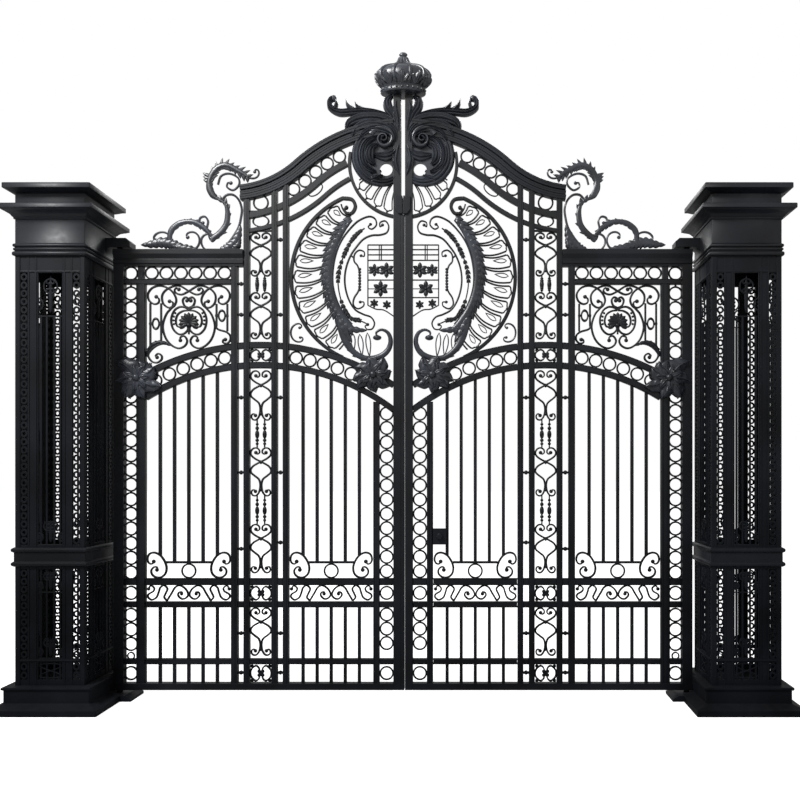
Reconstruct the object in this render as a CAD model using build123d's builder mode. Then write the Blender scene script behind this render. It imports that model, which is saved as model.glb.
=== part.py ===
from build123d import *
import os
from math import cos, hypot, radians, sin, sqrt

# Double-leaf wrought iron driveway gate between two openwork posts, in millimetres.
# X runs along the gate to the right, Y into the property, Z up.
# The origin is the middle of the underside of the left post's plinth.
# Leaf members are laid out for the right leaf by their distance u from the middle of the
# gate, and the left leaf is its mirror image.

# driving dimensions: overall layout
clear_opening = 4300.0
post_width = 480.0
leaf_set_back = 137.0
leaf_ground_gap = 60.0
hinge_to_post = 83.0
meeting_half_gap = 14.5
running_clearance = 5.5

post_pitch = clear_opening + post_width
gate_middle_x = post_pitch / 2
hinge_u = clear_opening / 2 - hinge_to_post

# posts
plinth_skirt_width = 740.0
plinth_skirt_height = 43.0
plinth_block_width = 610.0
plinth_height = 182.0
plinth_recess_projection = 35.0
shaft_top = 3130.0
shaft_wall = 24.0
corner_stile_width = 34.0
fret_width = 52.0
panel_opening_width = 184.0
panel_bottom = 220.0
panel_top = 3014.0
cross_rail_height = 353.0
cross_rail_depth = 26.0
fret_web = 6.0
mid_band_low = 1015.0
mid_band_high = 1111.0
mid_moulding_projection = 20.0
mid_moulding_height = 36.0
neck_top = 3216.0
neck_projection = 15.0
head_block_top = 3381.0
lower_cornice_top = 3467.0
lower_cornice_width = 640.0
cap_block_top = 3556.0
upper_cornice_top = 3615.0
upper_cornice_width = 600.0

plinth_stages = [
    (0.0, plinth_skirt_width / 2),
    (plinth_skirt_height, plinth_skirt_width / 2),
    (66.0, plinth_block_width / 2),
    (72.0, plinth_block_width / 2 - 12),
    (160.0, plinth_block_width / 2 - 12),
    (165.0, plinth_block_width / 2),
    (plinth_height, plinth_block_width / 2),
]
plinth_recess_ahead = 75.0
shaft_half = post_width / 2
head_stages = [
    (shaft_top, shaft_half + 10),
    (3140.0, shaft_half + neck_projection),
    (3156.0, shaft_half + neck_projection),
    (3162.0, shaft_half + 3),
    (3170.0, shaft_half + 8),
    (3180.0, shaft_half + 8),
    (3186.0, shaft_half + 2),
    (3194.0, shaft_half + 12),
    (3208.0, shaft_half + 12),
    (neck_top, shaft_half),
    (head_block_top, shaft_half),
]
cap_stages = [
    (head_block_top, shaft_half + 8),
    (3392.0, shaft_half + 8),
    (3398.0, shaft_half + 20),
    (3420.0, shaft_half + 36),
    (3438.0, shaft_half + 70),
    (3440.0, lower_cornice_width / 2),
    (lower_cornice_top, lower_cornice_width / 2),
    (lower_cornice_top, shaft_half),
    (cap_block_top, shaft_half),
    (3560.0, shaft_half + 12),
    (3578.0, shaft_half + 44),
    (3580.0, upper_cornice_width / 2),
    (upper_cornice_top, upper_cornice_width / 2),
]
moulding_half = mid_moulding_height / 2
mid_band_stages = [
    (mid_band_low - moulding_half, shaft_half + 6),
    (mid_band_low - moulding_half / 2, shaft_half + mid_moulding_projection),
    (mid_band_low + moulding_half / 2, shaft_half + mid_moulding_projection),
    (mid_band_low + moulding_half, shaft_half + 6),
    (mid_band_high - moulding_half, shaft_half + 6),
    (mid_band_high - moulding_half / 2, shaft_half + mid_moulding_projection),
    (mid_band_high + moulding_half / 2, shaft_half + mid_moulding_projection),
    (mid_band_high + moulding_half, shaft_half + 6),
]
stub_width = 60.0
stub_reach = 62.0
upper_stubs = [(1831.0, 36.0), (1960.0, 45.0)]

# hinge fittings
pin_radius = 20.0
pin_play = 1.0
pin_end_play = 2.0
pin_socket_floor = 12.0
shoe_reach = 209.0
shoe_half_width = 120.0
pivot_arm_bottom = 3275.0
pivot_arm_top = 3340.0
pivot_arm_reach = 176.0
pivot_arm_half_width = 55.0

# leaf frame members: the middle of each upright and its width
leaf_top_of_heel = 3262.0
hanging_stile_width = 74.0
stile_depth = 60.0
ring_stile_u = hinge_u - 157.0
ring_stile_width = 66.0
pilaster_stile_u = (1228.0, 1140.0, 937.5, 854.5)
pilaster_stile_width = (48.0, 42.0, 42.0, 42.0)
inner_stile_u = 195.0
inner_stile_width = 45.0
meeting_stile_edge = 70.0
meeting_stile_top = 4388.0
grille_depth = 32.0
pilaster_depth = 50.0
bottom_rail_height = 49.0
kick_rail_z = 265.0
kick_rail_height = 40.0
lower_lock_rail_z = 680.0
lower_lock_rail_height = 42.0
upper_lock_rail_z = 846.0
upper_lock_rail_height = 50.0
cross_bar_z = 987.0
cross_bar_height = 20.0
bar_width = 20.0
bars_per_bay = 5
foot_scroll_place = 0.20
foot_scroll_reach = 0.20
frieze_bars = 4
frieze_lean = 40.0

# rings
column_depth = 36.0
ornament_depth = 24.0
heel_ring = 107.0
meeting_ring = 104.5
row_ring = 105.0
arch_ring = 99.0
outer_arch_rings = 5
inner_arch_rings = 6
meeting_rings = 12
ring_wire = 10.5
ring_sides = 6
roundel_sides = 8
roundel_bar = 16.0
row_rings = 7

# arched rails over the bars, both struck from one centre
arch_centre = (1040.0, 819.0)
arch_radii = (1606.0, 1752.0)
arch_rail_height = 47.0
arch_chord = 125.0

# side cornice and the panel under it
side_rail_z = 3032.0
side_rail_height = 40.0
cornice_bottom = 3143.0
cornice_half_depth = 45.0
roundel_centre = (1545.0, 2743.0)
roundel_radius = 127.0

# ogee crest: a convex arc over the middle and a concave arc at the side
crest_centre_z = 3034.0
crest_radius = 1180.0
ogee_turn_u = 790.0
ogee_radius = 700.0
crest_end_u = 1185.0
crest_chords = 11
crest_moulding = 108.0
second_rail_offset = 225.0
second_rail_height = 45.0
third_rail_offset = 335.0
third_rail_height = 30.0

# circle under the crown and the great rosette
circle_centre_z = 3894.0
circle_radius = 403.0
circle_bar = 24.0
circle_sides = 20
panel_chords = 6
rosette_centre = (182.0, 3062.0)
rosette_radius = 635.0
rosette_bar = 34.0
rosette_hoop_u = 330.0
rosette_half_height = 560.0
crescent_centre = (0.0, 3083.0)
crescent_outer = 640.0
crescent_width = 120.0
crescent_sweep = 62.0
petal_count = 9
petal_first = -52.0
petal_last = 52.0
petal_bar = 16.0
petal_root = 590.0
crescent_tip = 26.0
rosette_sides = 24
shield_half_width = 260.0
shield_bottom = 2850.0
shield_top = 3302.0
shield_bars = (2857.0, 3000.0, 3150.0, 3295.0)
shield_bar = 14.0
shield_drop = 80.0
volute_centre = (212.0, 2582.0)
volute_diameter = 280.0
crest_ring_turns = (21.0, 26.5, 32.0, 37.5)
crest_fillets = [(0.0, 40.0, 45.0), (40.0, 72.0, 33.0), (72.0, 108.0, 38.0)]

# collars between the close pairs of uprights
outer_collars = (182.0, 469.0, 1085.0, 1642.0, 2189.0, 2793.0)
inner_collars = (182.0, 469.0, 1131.0, 1642.0, 2189.0, 2793.0, 3340.0)
collar_height = 34.0

# scrollwork
scroll_bar = 12.0
lyre_half_width = 185.0
lyre_radius = 210.0
side_rod_offset = 255.0
side_rod = 12.0
side_crest_foot = (1200.0, 1860.0)
side_foot_height = 16.0
# each scroll: u, height above the cornice, heading, bends of (radius, turn), turn in one chord,
# width at the root and at the tip
side_scrolls = [
    (1860.0, 6.0, 168.0, [(420.0, 24.0)], 12.0, 34.0, 20.0),
    (1690.0, 10.0, 95.0, [(190.0, 70.0), (120.0, 100.0)], 50.0, 56.0, 34.0),
    (1810.0, 10.0, 85.0, [(58.0, 150.0)], 75.0, 14.0, 14.0),
    (1500.0, 8.0, 50.0, [(95.0, 130.0), (50.0, 90.0)], 65.0, 16.0, 16.0),
    (1195.0, 8.0, 92.0, [(330.0, 30.0), (110.0, 120.0)], 40.0, 16.0, 16.0),
]
side_stem_start = (1465.0, 62.0)
side_stem_width = 44.0
side_stem_tip = 30.0
side_stem_bends = [(190, -100), (115, -60), (240, 30), (150, 90)]
side_head_curl = (60.0, [(170.0, 80.0), (90.0, 110.0)], 36.0)
side_head_width = 90.0
side_head_tip = 40.0
side_crest_top = 3900.0
acanthus_reach = 545.0
acanthus_bottom = 3724.0
acanthus_top = 4383.0
acanthus_half_depth = 60.0
# each lobe: u, height, heading, bends, turn in one chord, width at the root and at the tip
acanthus_lobes = [
    (118.0, 3760.0, 150.0, [(96.0, -150.0), (120.0, -130.0)], 62.0, 70.0, 60.0),
    (60.0, 4040.0, 80.0, [(150.0, -110.0), (105.0, -170.0)], 62.0, 92.0, 60.0),
    (150.0, 3890.0, 60.0, [(420.0, 18.0), (210.0, -62.0), (300.0, -30.0), (50.0, 170.0)], 36.0, 150.0, 46.0),
    (90.0, 4120.0, 85.0, [(260.0, -30.0)], 30.0, 60.0, 24.0),
]

# bosses, catch, lock and crown
boss_bottom = 2215.0
boss_top = 2465.0
boss_relief = 34.0
boss_bevel = 26.0
heel_boss_centre = (ring_stile_u + 15.0, 2335.0)
heel_boss_size = 330.0
meeting_boss_centre = (217.0, 2350.0)
meeting_boss_size = 275.0
catch_bottom = 3520.0
catch_top = 3650.0
catch_half_width = 54.0
catch_half_depth = 44.0
lock_edges = (219.0, 316.0)
lock_bottom = 1120.0
lock_top = 1236.0
lock_depth = 36.0
lock_knob_radius = 24.0
lock_knob_length = 26.0
astragal_top = 3515.0
crown_bottom = 4396.0
crown_reach = 200.0
crown_profile = [
    (0.0, 168.0),
    (62.0, 168.0),
    (66.0, 158.0),
    (140.0, crown_reach),
    (205.0, 165.0),
    (250.0, 70.0),
    (262.0, 22.0),
    (288.0, 34.0),
    (313.0, 14.0),
]

leaf_plane = Plane(origin=(gate_middle_x, leaf_set_back, 0), x_dir=(1, 0, 0), z_dir=(0, -1, 0))
middle_plane = Plane(origin=(gate_middle_x, 0, 0), z_dir=(1, 0, 0))
post_x = gate_middle_x + post_pitch / 2
post_inner_x = post_x - post_width / 2
leaf_bottom = leaf_ground_gap
rail_floor = leaf_bottom + bottom_rail_height


def block(u0, u1, z0, z1, mode=Mode.ADD):
    """A rectangle between two distances along the gate and two heights, in the open sketch."""
    with Locations(((u0 + u1) / 2, (z0 + z1) / 2)):
        Rectangle(u1 - u0, z1 - z0, mode=mode)


def rings(centres, diameter, wire=ring_wire, sides=ring_sides, turn=0.0):
    """Rings of flat bar with a few flat sides, touching side by side, in the open sketch."""
    for centre in centres:
        with Locations(centre):
            RegularPolygon(diameter / 2, sides, major_radius=False, rotation=turn)
    for centre in centres:
        with Locations(centre):
            RegularPolygon(diameter / 2 - wire, sides, major_radius=False, rotation=turn, mode=Mode.SUBTRACT)


def curl(start, heading, bends, step=28.0):
    """Points along a bar that sets out at a heading in degrees and follows bends of (radius, turn).

    Each bend is walked in equal chords of 2 r sin(d / 2), the heading turning by d at each.
    """
    u, z = start
    points = [start]
    for radius, turn in bends:
        count = max(1, round(abs(turn) / step))
        part_turn = turn / count
        chord = 2 * radius * sin(radians(abs(part_turn)) / 2)
        for _ in range(count):
            heading += part_turn / 2
            u += chord * cos(radians(heading))
            z += chord * sin(radians(heading))
            heading += part_turn / 2
            points.append((u, z))
    return points


def strip(points, width, tip=None):
    """A bar of even width, or tapering to tip, along the points, in the open sketch."""
    near, far = [], []
    last = len(points) - 1
    for i, (u, z) in enumerate(points):
        before = points[max(i - 1, 0)]
        after = points[min(i + 1, last)]
        length = hypot(after[0] - before[0], after[1] - before[1])
        half = width / 2 if tip is None else (width + (tip - width) * i / last) / 2
        across = (-(after[1] - before[1]) / length * half, (after[0] - before[0]) / length * half)
        near.append((u + across[0], z + across[1]))
        far.append((u - across[0], z - across[1]))
    Polygon(*near, *reversed(far), align=None)


def arch_height(u, radius):
    """Height of an arch of the given radius at distance u from the middle of the gate."""
    return arch_centre[1] + sqrt(radius**2 - (u - arch_centre[0]) ** 2)


def spread(first, last, count):
    """Places of equally spaced bars between two members."""
    return [first + (last - first) * (i + 1) / (count + 1) for i in range(count)]


# ogee geometry: both arcs share a tangent where they meet
turn_cos = ogee_turn_u / crest_radius
turn_sin = sqrt(1 - turn_cos**2)
crest_centre = (0.0, crest_centre_z)
ogee_reach = crest_radius + ogee_radius
ogee_centre = (ogee_reach * turn_cos, crest_centre_z + ogee_reach * turn_sin)


def crest_height(u, offset):
    """Height at distance u of the crest line set in by offset from the top of the moulding."""
    radius = crest_radius - offset
    if u < radius * turn_cos:
        return crest_centre[1] + sqrt(radius**2 - u**2)
    return ogee_centre[1] - sqrt((ogee_radius + offset) ** 2 - (u - ogee_centre[0]) ** 2)


def crest_line(u0, u1, offset, count):
    """Points along the crest line set in by offset, from u0 to u1."""
    return [(u, crest_height(u, offset)) for u in (u0 + (u1 - u0) * i / count for i in range(count + 1))]


def crest_band(u0, u1, offset0, offset1, count):
    """The strip between two lines parallel to the ogee, from u0 to u1, in the open sketch."""
    outer = crest_line(u0, u1, offset0, count)
    inner = crest_line(u0, u1, offset1, count)
    Polygon(*outer, *reversed(inner), align=None)


def ring_chain(u, low, high, pitch):
    """Centres of touching rings that fill a height, centred in it."""
    count = max(int((high - low) / pitch + 0.35), 1)
    middle = (low + high) / 2
    return [(u, middle + pitch * (i - (count - 1) / 2)) for i in range(count)]


def ring_run(u, low, high, diameter, across=None):
    """Touching rings between two rails, tied to them by short links, in the open sketch.

    Rings wider than the gap they stand in are as wide as the gap inside, their sides in the uprights.
    """
    centres = ring_chain(u, low, high, diameter)
    if across:
        rings(centres, across + 2 * ring_wire, turn=30)
    else:
        rings(centres, diameter)
    link = ring_wire / 2
    block(u - link, u + link, low, centres[0][1] - diameter / 2 + link)
    block(u - link, u + link, centres[-1][1] + diameter / 2 - link, high)


def arch_line(u0, u1, radius):
    """Points along an arch between two distances from the middle of the gate."""
    count = max(round(abs(u1 - u0) / arch_chord), 2)
    return [(u, arch_height(u, radius)) for u in (u0 + (u1 - u0) * i / count for i in range(count + 1))]


def arch_pair(u0, u1):
    """Both arched rails between two distances, in the open sketch."""
    for radius in arch_radii:
        outer = arch_line(u0, u1, radius + arch_half)
        inner = arch_line(u0, u1, radius - arch_half)
        Polygon(*outer, *reversed(inner), align=None)


def arch_rings(first, last, count):
    """Centres of rings on the line midway between the two arched rails."""
    middle = sum(arch_radii) / 2
    return [(u, arch_height(u, middle)) for u in spread(first, last, count)]


def bay_grille(bay, arch_from, arch_to, ring_count):
    """A whole bay in the open sketch: bars, rails, foot ring, C-scrolls, frieze, arches and rings."""
    for height, size in rails:
        block(*bay, height - size / 2, height + size / 2)
    block(*bay, cross_bar_z - cross_bar_height / 2, cross_bar_z + cross_bar_height / 2)
    for u in spread(*bay, bars_per_bay):
        block(u - bar_width / 2, u + bar_width / 2, rail_floor, lower_lock_rail_z)
        block(u - bar_width / 2, u + bar_width / 2, cross_bar_z, arch_height(u, arch_radii[0]))
    floor = upper_lock_rail_z + upper_lock_rail_height / 2
    size = cross_bar_z - cross_bar_height / 2 - floor
    middle = sum(bay) / 2
    rings([(middle, floor + size / 2)], size)
    for side in (-1, 1):
        back = middle + side * (bay[1] - bay[0]) * foot_scroll_place
        reach = (bay[1] - bay[0]) * foot_scroll_reach
        strip([(back, cross_bar_z), (back + side * reach, floor - scroll_bar / 2)], scroll_bar)
    for foot in spread(*bay, frieze_bars):
        lean = frieze_lean if middle > foot else -frieze_lean
        strip([(foot - lean, lower_lock_rail_z), (foot + lean, upper_lock_rail_z)], scroll_bar)
    arch_pair(arch_from, arch_to)
    rings(arch_rings(*bay, ring_count), arch_ring)


def boss_pad(centre, size):
    """A leafy eight-sided pad that stands on the front of the leaf."""
    with BuildSketch(leaf_plane.offset(stile_depth / 2)) as outline:
        with Locations(centre):
            RegularPolygon(size / 2, 8, rotation=22.5)
    extrude(outline.sketch, amount=boss_relief)


def stepped_outline(stages):
    """A symmetrical upright outline from (height, half width) stages, in the open sketch."""
    right = [(width, height) for height, width in stages]
    Polygon(*right, *[(-width, height) for width, height in reversed(right)], align=None)


def post_plane(turn):
    """An upright plane through the middle of the right post, turned about its axis."""
    along = (cos(radians(turn)), sin(radians(turn)), 0)
    across = (sin(radians(turn)), -cos(radians(turn)), 0)
    return Plane(origin=(post_x, 0, 0), x_dir=along, z_dir=across)


arch_half = arch_rail_height / 2
lower_arch = arch_radii[0] - arch_half
upper_arch = arch_radii[1] + arch_half
stile_edges = [(u - w / 2, u + w / 2) for u, w in zip(pilaster_stile_u, pilaster_stile_width)]
pair_gaps = [
    (stile_edges[1][1], stile_edges[0][0]),
    (stile_edges[2][1], stile_edges[1][0]),
    (stile_edges[3][1], stile_edges[2][0]),
]
outer_bay = (stile_edges[0][1], ring_stile_u - ring_stile_width / 2)
inner_bay = (inner_stile_u + inner_stile_width / 2, stile_edges[3][0])
heel_edges = (ring_stile_u + ring_stile_width / 2, hinge_u - hanging_stile_width / 2)
heel_mid = sum(heel_edges) / 2
meeting_edges = (meeting_stile_edge, inner_stile_u - inner_stile_width / 2)
meeting_mid = sum(meeting_edges) / 2
side_rail_bottom = side_rail_z - side_rail_height / 2
side_rail_top = side_rail_z + side_rail_height / 2
rails = [
    (kick_rail_z, kick_rail_height),
    (lower_lock_rail_z, lower_lock_rail_height),
    (upper_lock_rail_z, upper_lock_rail_height),
]
ring_levels = [
    (rail_floor, kick_rail_z - kick_rail_height / 2),
    (kick_rail_z + kick_rail_height / 2, lower_lock_rail_z - lower_lock_rail_height / 2),
    (lower_lock_rail_z + lower_lock_rail_height / 2, upper_lock_rail_z - upper_lock_rail_height / 2),
    (upper_lock_rail_z + upper_lock_rail_height / 2, boss_bottom),
]
cornice_span = hinge_u + hanging_stile_width / 2 - stile_edges[1][1]
cornice_plane = Plane(
    origin=(gate_middle_x + stile_edges[1][1], leaf_set_back, 0), x_dir=(0, 1, 0), z_dir=(1, 0, 0)
)
leaf_mid_plane = Plane.XZ.offset(-leaf_set_back)
second_rail = (second_rail_offset - second_rail_height / 2, second_rail_offset + second_rail_height / 2)
third_rail = (third_rail_offset - third_rail_height / 2, third_rail_offset + third_rail_height / 2)
crest_top = crest_centre_z + crest_radius
crest_ring_offset = (crest_moulding + second_rail[0]) / 2
crest_ring = second_rail[0] - crest_moulding
catch_gap = running_clearance / 2
stub_plane = Plane(origin=(post_x + post_width / 2, 0, 0), x_dir=(0, 1, 0), z_dir=(1, 0, 0))
left_stub_plane = Plane(origin=(-post_width / 2, 0, 0), x_dir=(0, -1, 0), z_dir=(-1, 0, 0))

crescent_middle = crescent_outer - crescent_width / 2
crescent_start = (crescent_centre[0] + crescent_middle, crescent_centre[1])
crescent_line = curl(crescent_start, 90, [(crescent_middle, crescent_sweep)], 16)

# everything below the arched rails: under the upper one at the middle and the side, and under the
# lower one at the middle
middle_span = (meeting_stile_edge, inner_bay[1])
middle_foot = [(inner_bay[1], 0), (meeting_stile_edge, 0)]
under_middle_arches = arch_line(*middle_span, upper_arch) + middle_foot
under_lower_arch = arch_line(*middle_span, lower_arch) + middle_foot
under_side_arches = arch_line(*outer_bay, upper_arch) + [(outer_bay[1], 0), (outer_bay[0], 0)]


# ---- right leaf ----

pin_foot = pin_socket_floor + pin_end_play
hinge_place = (gate_middle_x + hinge_u, leaf_set_back)

with BuildPart() as hanging_stile:
    with BuildSketch(leaf_plane):
        block(heel_edges[1], hinge_u + hanging_stile_width / 2, leaf_bottom, leaf_top_of_heel)
    extrude(amount=stile_depth / 2, both=True)
    with BuildSketch(Plane.XY.offset(pin_foot)):
        with Locations(hinge_place):
            Circle(pin_radius)
    extrude(amount=leaf_bottom - pin_foot)
    with BuildSketch(Plane.XY.offset(leaf_top_of_heel)):
        with Locations(hinge_place):
            Circle(pin_radius)
    extrude(amount=pivot_arm_top - pin_end_play - leaf_top_of_heel)

with BuildPart() as meeting_stile:
    with BuildSketch(leaf_plane):
        block(meeting_half_gap, meeting_stile_edge, leaf_bottom, meeting_stile_top)
    extrude(amount=stile_depth / 2, both=True)

with BuildPart() as bottom_rail:
    with BuildSketch(leaf_plane):
        block(meeting_stile_edge, heel_edges[1], leaf_bottom, rail_floor)
    extrude(amount=stile_depth / 2, both=True)

# the upright beside the heel and its chain of rings, broken only by the rails
with BuildPart() as hanging_ring_column:
    with BuildSketch(leaf_plane):
        for low, high in ring_levels + [(boss_top, side_rail_bottom)]:
            ring_run(heel_mid, low, high, heel_ring, heel_edges[1] - heel_edges[0])
        block(*heel_edges, rail_floor, side_rail_bottom, mode=Mode.INTERSECT)
        block(*heel_edges, boss_bottom, boss_top, mode=Mode.SUBTRACT)
        block(outer_bay[1], heel_edges[0], rail_floor, side_rail_bottom)
        for height, size in rails:
            block(*heel_edges, height - size / 2, height + size / 2)
    extrude(amount=column_depth / 2, both=True)

with BuildPart() as meeting_ring_column:
    with BuildSketch(leaf_plane):
        for low, high in ring_levels[:3]:
            ring_run(meeting_mid, low, high, meeting_ring)
        first = ring_levels[3][0] + meeting_ring / 2
        rings([(meeting_mid, first + meeting_ring * i) for i in range(meeting_rings)], meeting_ring)
        block(*meeting_edges, rail_floor, first + meeting_ring * meeting_rings, mode=Mode.INTERSECT)
        for height, size in rails:
            block(*meeting_edges, height - size / 2, height + size / 2)
        block(meeting_edges[1], inner_bay[0], rail_floor, arch_height(inner_bay[0], arch_radii[0]))
        Polygon(*under_lower_arch, align=None, mode=Mode.INTERSECT)
    extrude(amount=column_depth / 2, both=True)

# each bay: upright bars on three rails, a ring at its foot, and two arched rails with rings
with BuildPart() as outer_bay_grille:
    with BuildSketch(leaf_plane):
        bay_grille(outer_bay, *outer_bay, outer_arch_rings)
    extrude(amount=grille_depth / 2, both=True)

with BuildPart() as inner_bay_grille:
    with BuildSketch(leaf_plane):
        bay_grille(inner_bay, *middle_span, inner_arch_rings)
    extrude(amount=grille_depth / 2, both=True)

with BuildPart() as crest_rail:
    for top, bottom, half_depth in crest_fillets:
        with BuildSketch(leaf_plane):
            crest_band(meeting_stile_edge, crest_end_u, top, bottom, crest_chords)
        extrude(amount=half_depth, both=True)

# four uprights between the bays, tied by rails, short arches and turned collars
with BuildPart() as pilaster:
    with BuildSketch(leaf_plane):
        block(*stile_edges[0], rail_floor, cornice_bottom)
        for edges in stile_edges[1:]:
            block(*edges, rail_floor, crest_height(sum(edges) / 2, crest_moulding / 2))
        arch_pair(stile_edges[3][1], stile_edges[0][0])
        for u0, u1 in pair_gaps:
            for height, size in rails:
                block(u0, u1, height - size / 2, height + size / 2)
        for u0, u1 in pair_gaps[1:]:
            crest_band(u0, u1, *second_rail, 1)
            crest_band(u0, u1, *third_rail, 1)
        for heights, gap in ((outer_collars, pair_gaps[0]), (inner_collars, pair_gaps[2])):
            for height in heights:
                block(*gap, height - collar_height / 2, height + collar_height / 2)
    extrude(amount=pilaster_depth / 2, both=True)
    add(crest_rail.part, mode=Mode.SUBTRACT)

# ring row and roundel panel of the side
with BuildPart() as side_panel:
    with BuildSketch(leaf_plane):
        row_z = (side_rail_top + cornice_bottom) / 2
        rings([(heel_edges[1] - row_ring * (i + 0.5), row_z) for i in range(row_rings)], row_ring, turn=30)
        block(outer_bay[0], heel_edges[1], side_rail_top, cornice_bottom, mode=Mode.INTERSECT)
        block(outer_bay[0], heel_edges[1], side_rail_bottom, side_rail_top)
        u, z = roundel_centre
        for side in (-1, 1):
            back = u + side * lyre_half_width
            for heading in (90, -90):
                bends = [(lyre_radius, side * heading / 90 * 70), (60, side * heading / 90 * 110)]
                strip(curl((back, z), heading, bends, 60), scroll_bar)
            rod = u + side * side_rod_offset
            block(rod - side_rod / 2, rod + side_rod / 2, arch_height(rod, arch_radii[1]), side_rail_bottom)
        block(u - side_rod_offset, u + side_rod_offset, z - side_rod / 2, z + side_rod / 2)
        block(u - side_rod / 2, u + side_rod / 2, arch_height(u, arch_radii[1]), side_rail_bottom)
        with Locations(roundel_centre):
            RegularPolygon(roundel_radius, roundel_sides, major_radius=False)
            roundel_hole = roundel_radius - roundel_bar
            RegularPolygon(roundel_hole, roundel_sides, major_radius=False, mode=Mode.SUBTRACT)
            RegularPolygon(roundel_radius / 2, roundel_sides, major_radius=False)
        for turn in (90, 210, 330):
            rim = u + roundel_radius * cos(radians(turn)), z + roundel_radius * sin(radians(turn))
            strip([(u, z), rim], side_rod)
        Polygon(*under_side_arches, align=None, mode=Mode.SUBTRACT)
    extrude(amount=ornament_depth / 2, both=True)

# stepped cornice over the side, notched round the heel
with BuildPart() as side_cornice:
    with BuildSketch(cornice_plane):
        with BuildLine() as outline:
            Polyline(
                (0, cornice_bottom),
                (30, cornice_bottom),
                (30, cornice_bottom + 12),
                (37, cornice_bottom + 18),
                (37, cornice_bottom + 44),
                (31, cornice_bottom + 50),
                (31, cornice_bottom + 56),
                (cornice_half_depth, cornice_bottom + 86),
                (cornice_half_depth, leaf_top_of_heel),
                (0, leaf_top_of_heel),
                close=True,
            )
        make_face()
        mirror(about=Plane.YZ)
    extrude(amount=cornice_span)
    add(hanging_stile.part, mode=Mode.SUBTRACT)

# scrollwork standing on the cornice: a leafy arch, C-scrolls and a tall S stem with a curled head
with BuildPart() as side_crest:
    floor = leaf_top_of_heel
    with BuildSketch(leaf_plane):
        block(*side_crest_foot, floor, floor + side_foot_height)
        for u, rise, heading, bends, step, width, tip in side_scrolls:
            strip(curl((u, floor + rise), heading, bends, step), width, tip)
        stem_foot = (side_stem_start[0], floor + side_stem_start[1])
        strip([(stem_foot[0] + side_stem_width, floor), stem_foot], side_stem_width)
        stem = curl(stem_foot, 190, side_stem_bends, 36)
        strip(stem, side_stem_width, side_stem_tip)
        strip(curl(stem[-1], *side_head_curl), side_head_width, side_head_tip)
        strip([stem[4], (crest_end_u, stem[4][1] + scroll_bar)], scroll_bar)
        block(stile_edges[1][1], heel_edges[0], floor, side_crest_top, mode=Mode.INTERSECT)
    extrude(amount=ornament_depth / 2, both=True)
    add(crest_rail.part, mode=Mode.SUBTRACT)

# rails parallel to the crest with rings between, and the half circle under the crown
with BuildPart() as crest_panel:
    with BuildSketch(leaf_plane):
        for turn in crest_ring_turns:
            reach = crest_radius - crest_ring_offset
            centre = (reach * sin(radians(turn)), crest_centre_z + reach * cos(radians(turn)))
            rings([centre], crest_ring, turn=-turn)
        crest_band(meeting_stile_edge, inner_bay[1], *second_rail, panel_chords)
        crest_band(meeting_stile_edge, inner_bay[1], *third_rail, panel_chords)
        with Locations((0, circle_centre_z)):
            RegularPolygon(circle_radius, circle_sides)
            RegularPolygon(circle_radius - circle_bar, circle_sides, mode=Mode.SUBTRACT)
        circle_foot = circle_centre_z - circle_radius
        block(*middle_span, circle_foot, crest_top, mode=Mode.INTERSECT)
    extrude(amount=grille_depth / 2, both=True)
    add(crest_rail.part, mode=Mode.SUBTRACT)

# great rosette: outer hoop, gadroon petals, leafy crescent, volute, and a plain barred shield
with BuildPart() as rosette:
    with BuildSketch(leaf_plane):
        with Locations(rosette_centre):
            RegularPolygon(rosette_radius + rosette_bar / 2, rosette_sides)
            RegularPolygon(rosette_radius - rosette_bar / 2, rosette_sides, mode=Mode.SUBTRACT)
        hoop_low = rosette_centre[1] - rosette_half_height
        hoop_high = rosette_centre[1] + rosette_half_height
        block(rosette_hoop_u, inner_bay[1], hoop_low, hoop_high, mode=Mode.INTERSECT)
        for turn in spread(petal_first, petal_last, petal_count):
            away = (cos(radians(turn)), sin(radians(turn)))
            root = [centre + petal_root * way for centre, way in zip(crescent_centre, away)]
            rim = [centre + rosette_radius * way for centre, way in zip(rosette_centre, away)]
            strip([root, rim], petal_bar)
        strip(crescent_line, crescent_width, crescent_tip)
        strip([(u, 2 * crescent_centre[1] - z) for u, z in crescent_line], crescent_width, crescent_tip)
        for height in shield_bars:
            block(meeting_stile_edge, shield_half_width, height - shield_bar / 2, height + shield_bar / 2)
        block(shield_half_width - shield_bar, shield_half_width, shield_bottom, shield_top)
        brace = crescent_centre[1]
        block(shield_half_width - shield_bar, petal_root, brace - shield_bar / 2, brace + shield_bar / 2)
        shield_corner = (shield_half_width - shield_bar / 2, shield_bottom)
        strip([shield_corner, (meeting_stile_edge, shield_bottom - shield_drop)], shield_bar)
        rings([volute_centre], volute_diameter, rosette_bar / 2, 8, 22.5)
        tail = (volute_centre[0] + volute_diameter / 2 - rosette_bar / 4, volute_centre[1])
        strip([tail, (rosette_hoop_u + rosette_bar, hoop_low + rosette_bar)], rosette_bar / 2)
        block(0, meeting_stile_edge, hoop_low, hoop_high, mode=Mode.SUBTRACT)
        Polygon(*under_middle_arches, align=None, mode=Mode.SUBTRACT)
    extrude(amount=ornament_depth / 2, both=True)
    add(crest_panel.part, mode=Mode.SUBTRACT)

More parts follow.
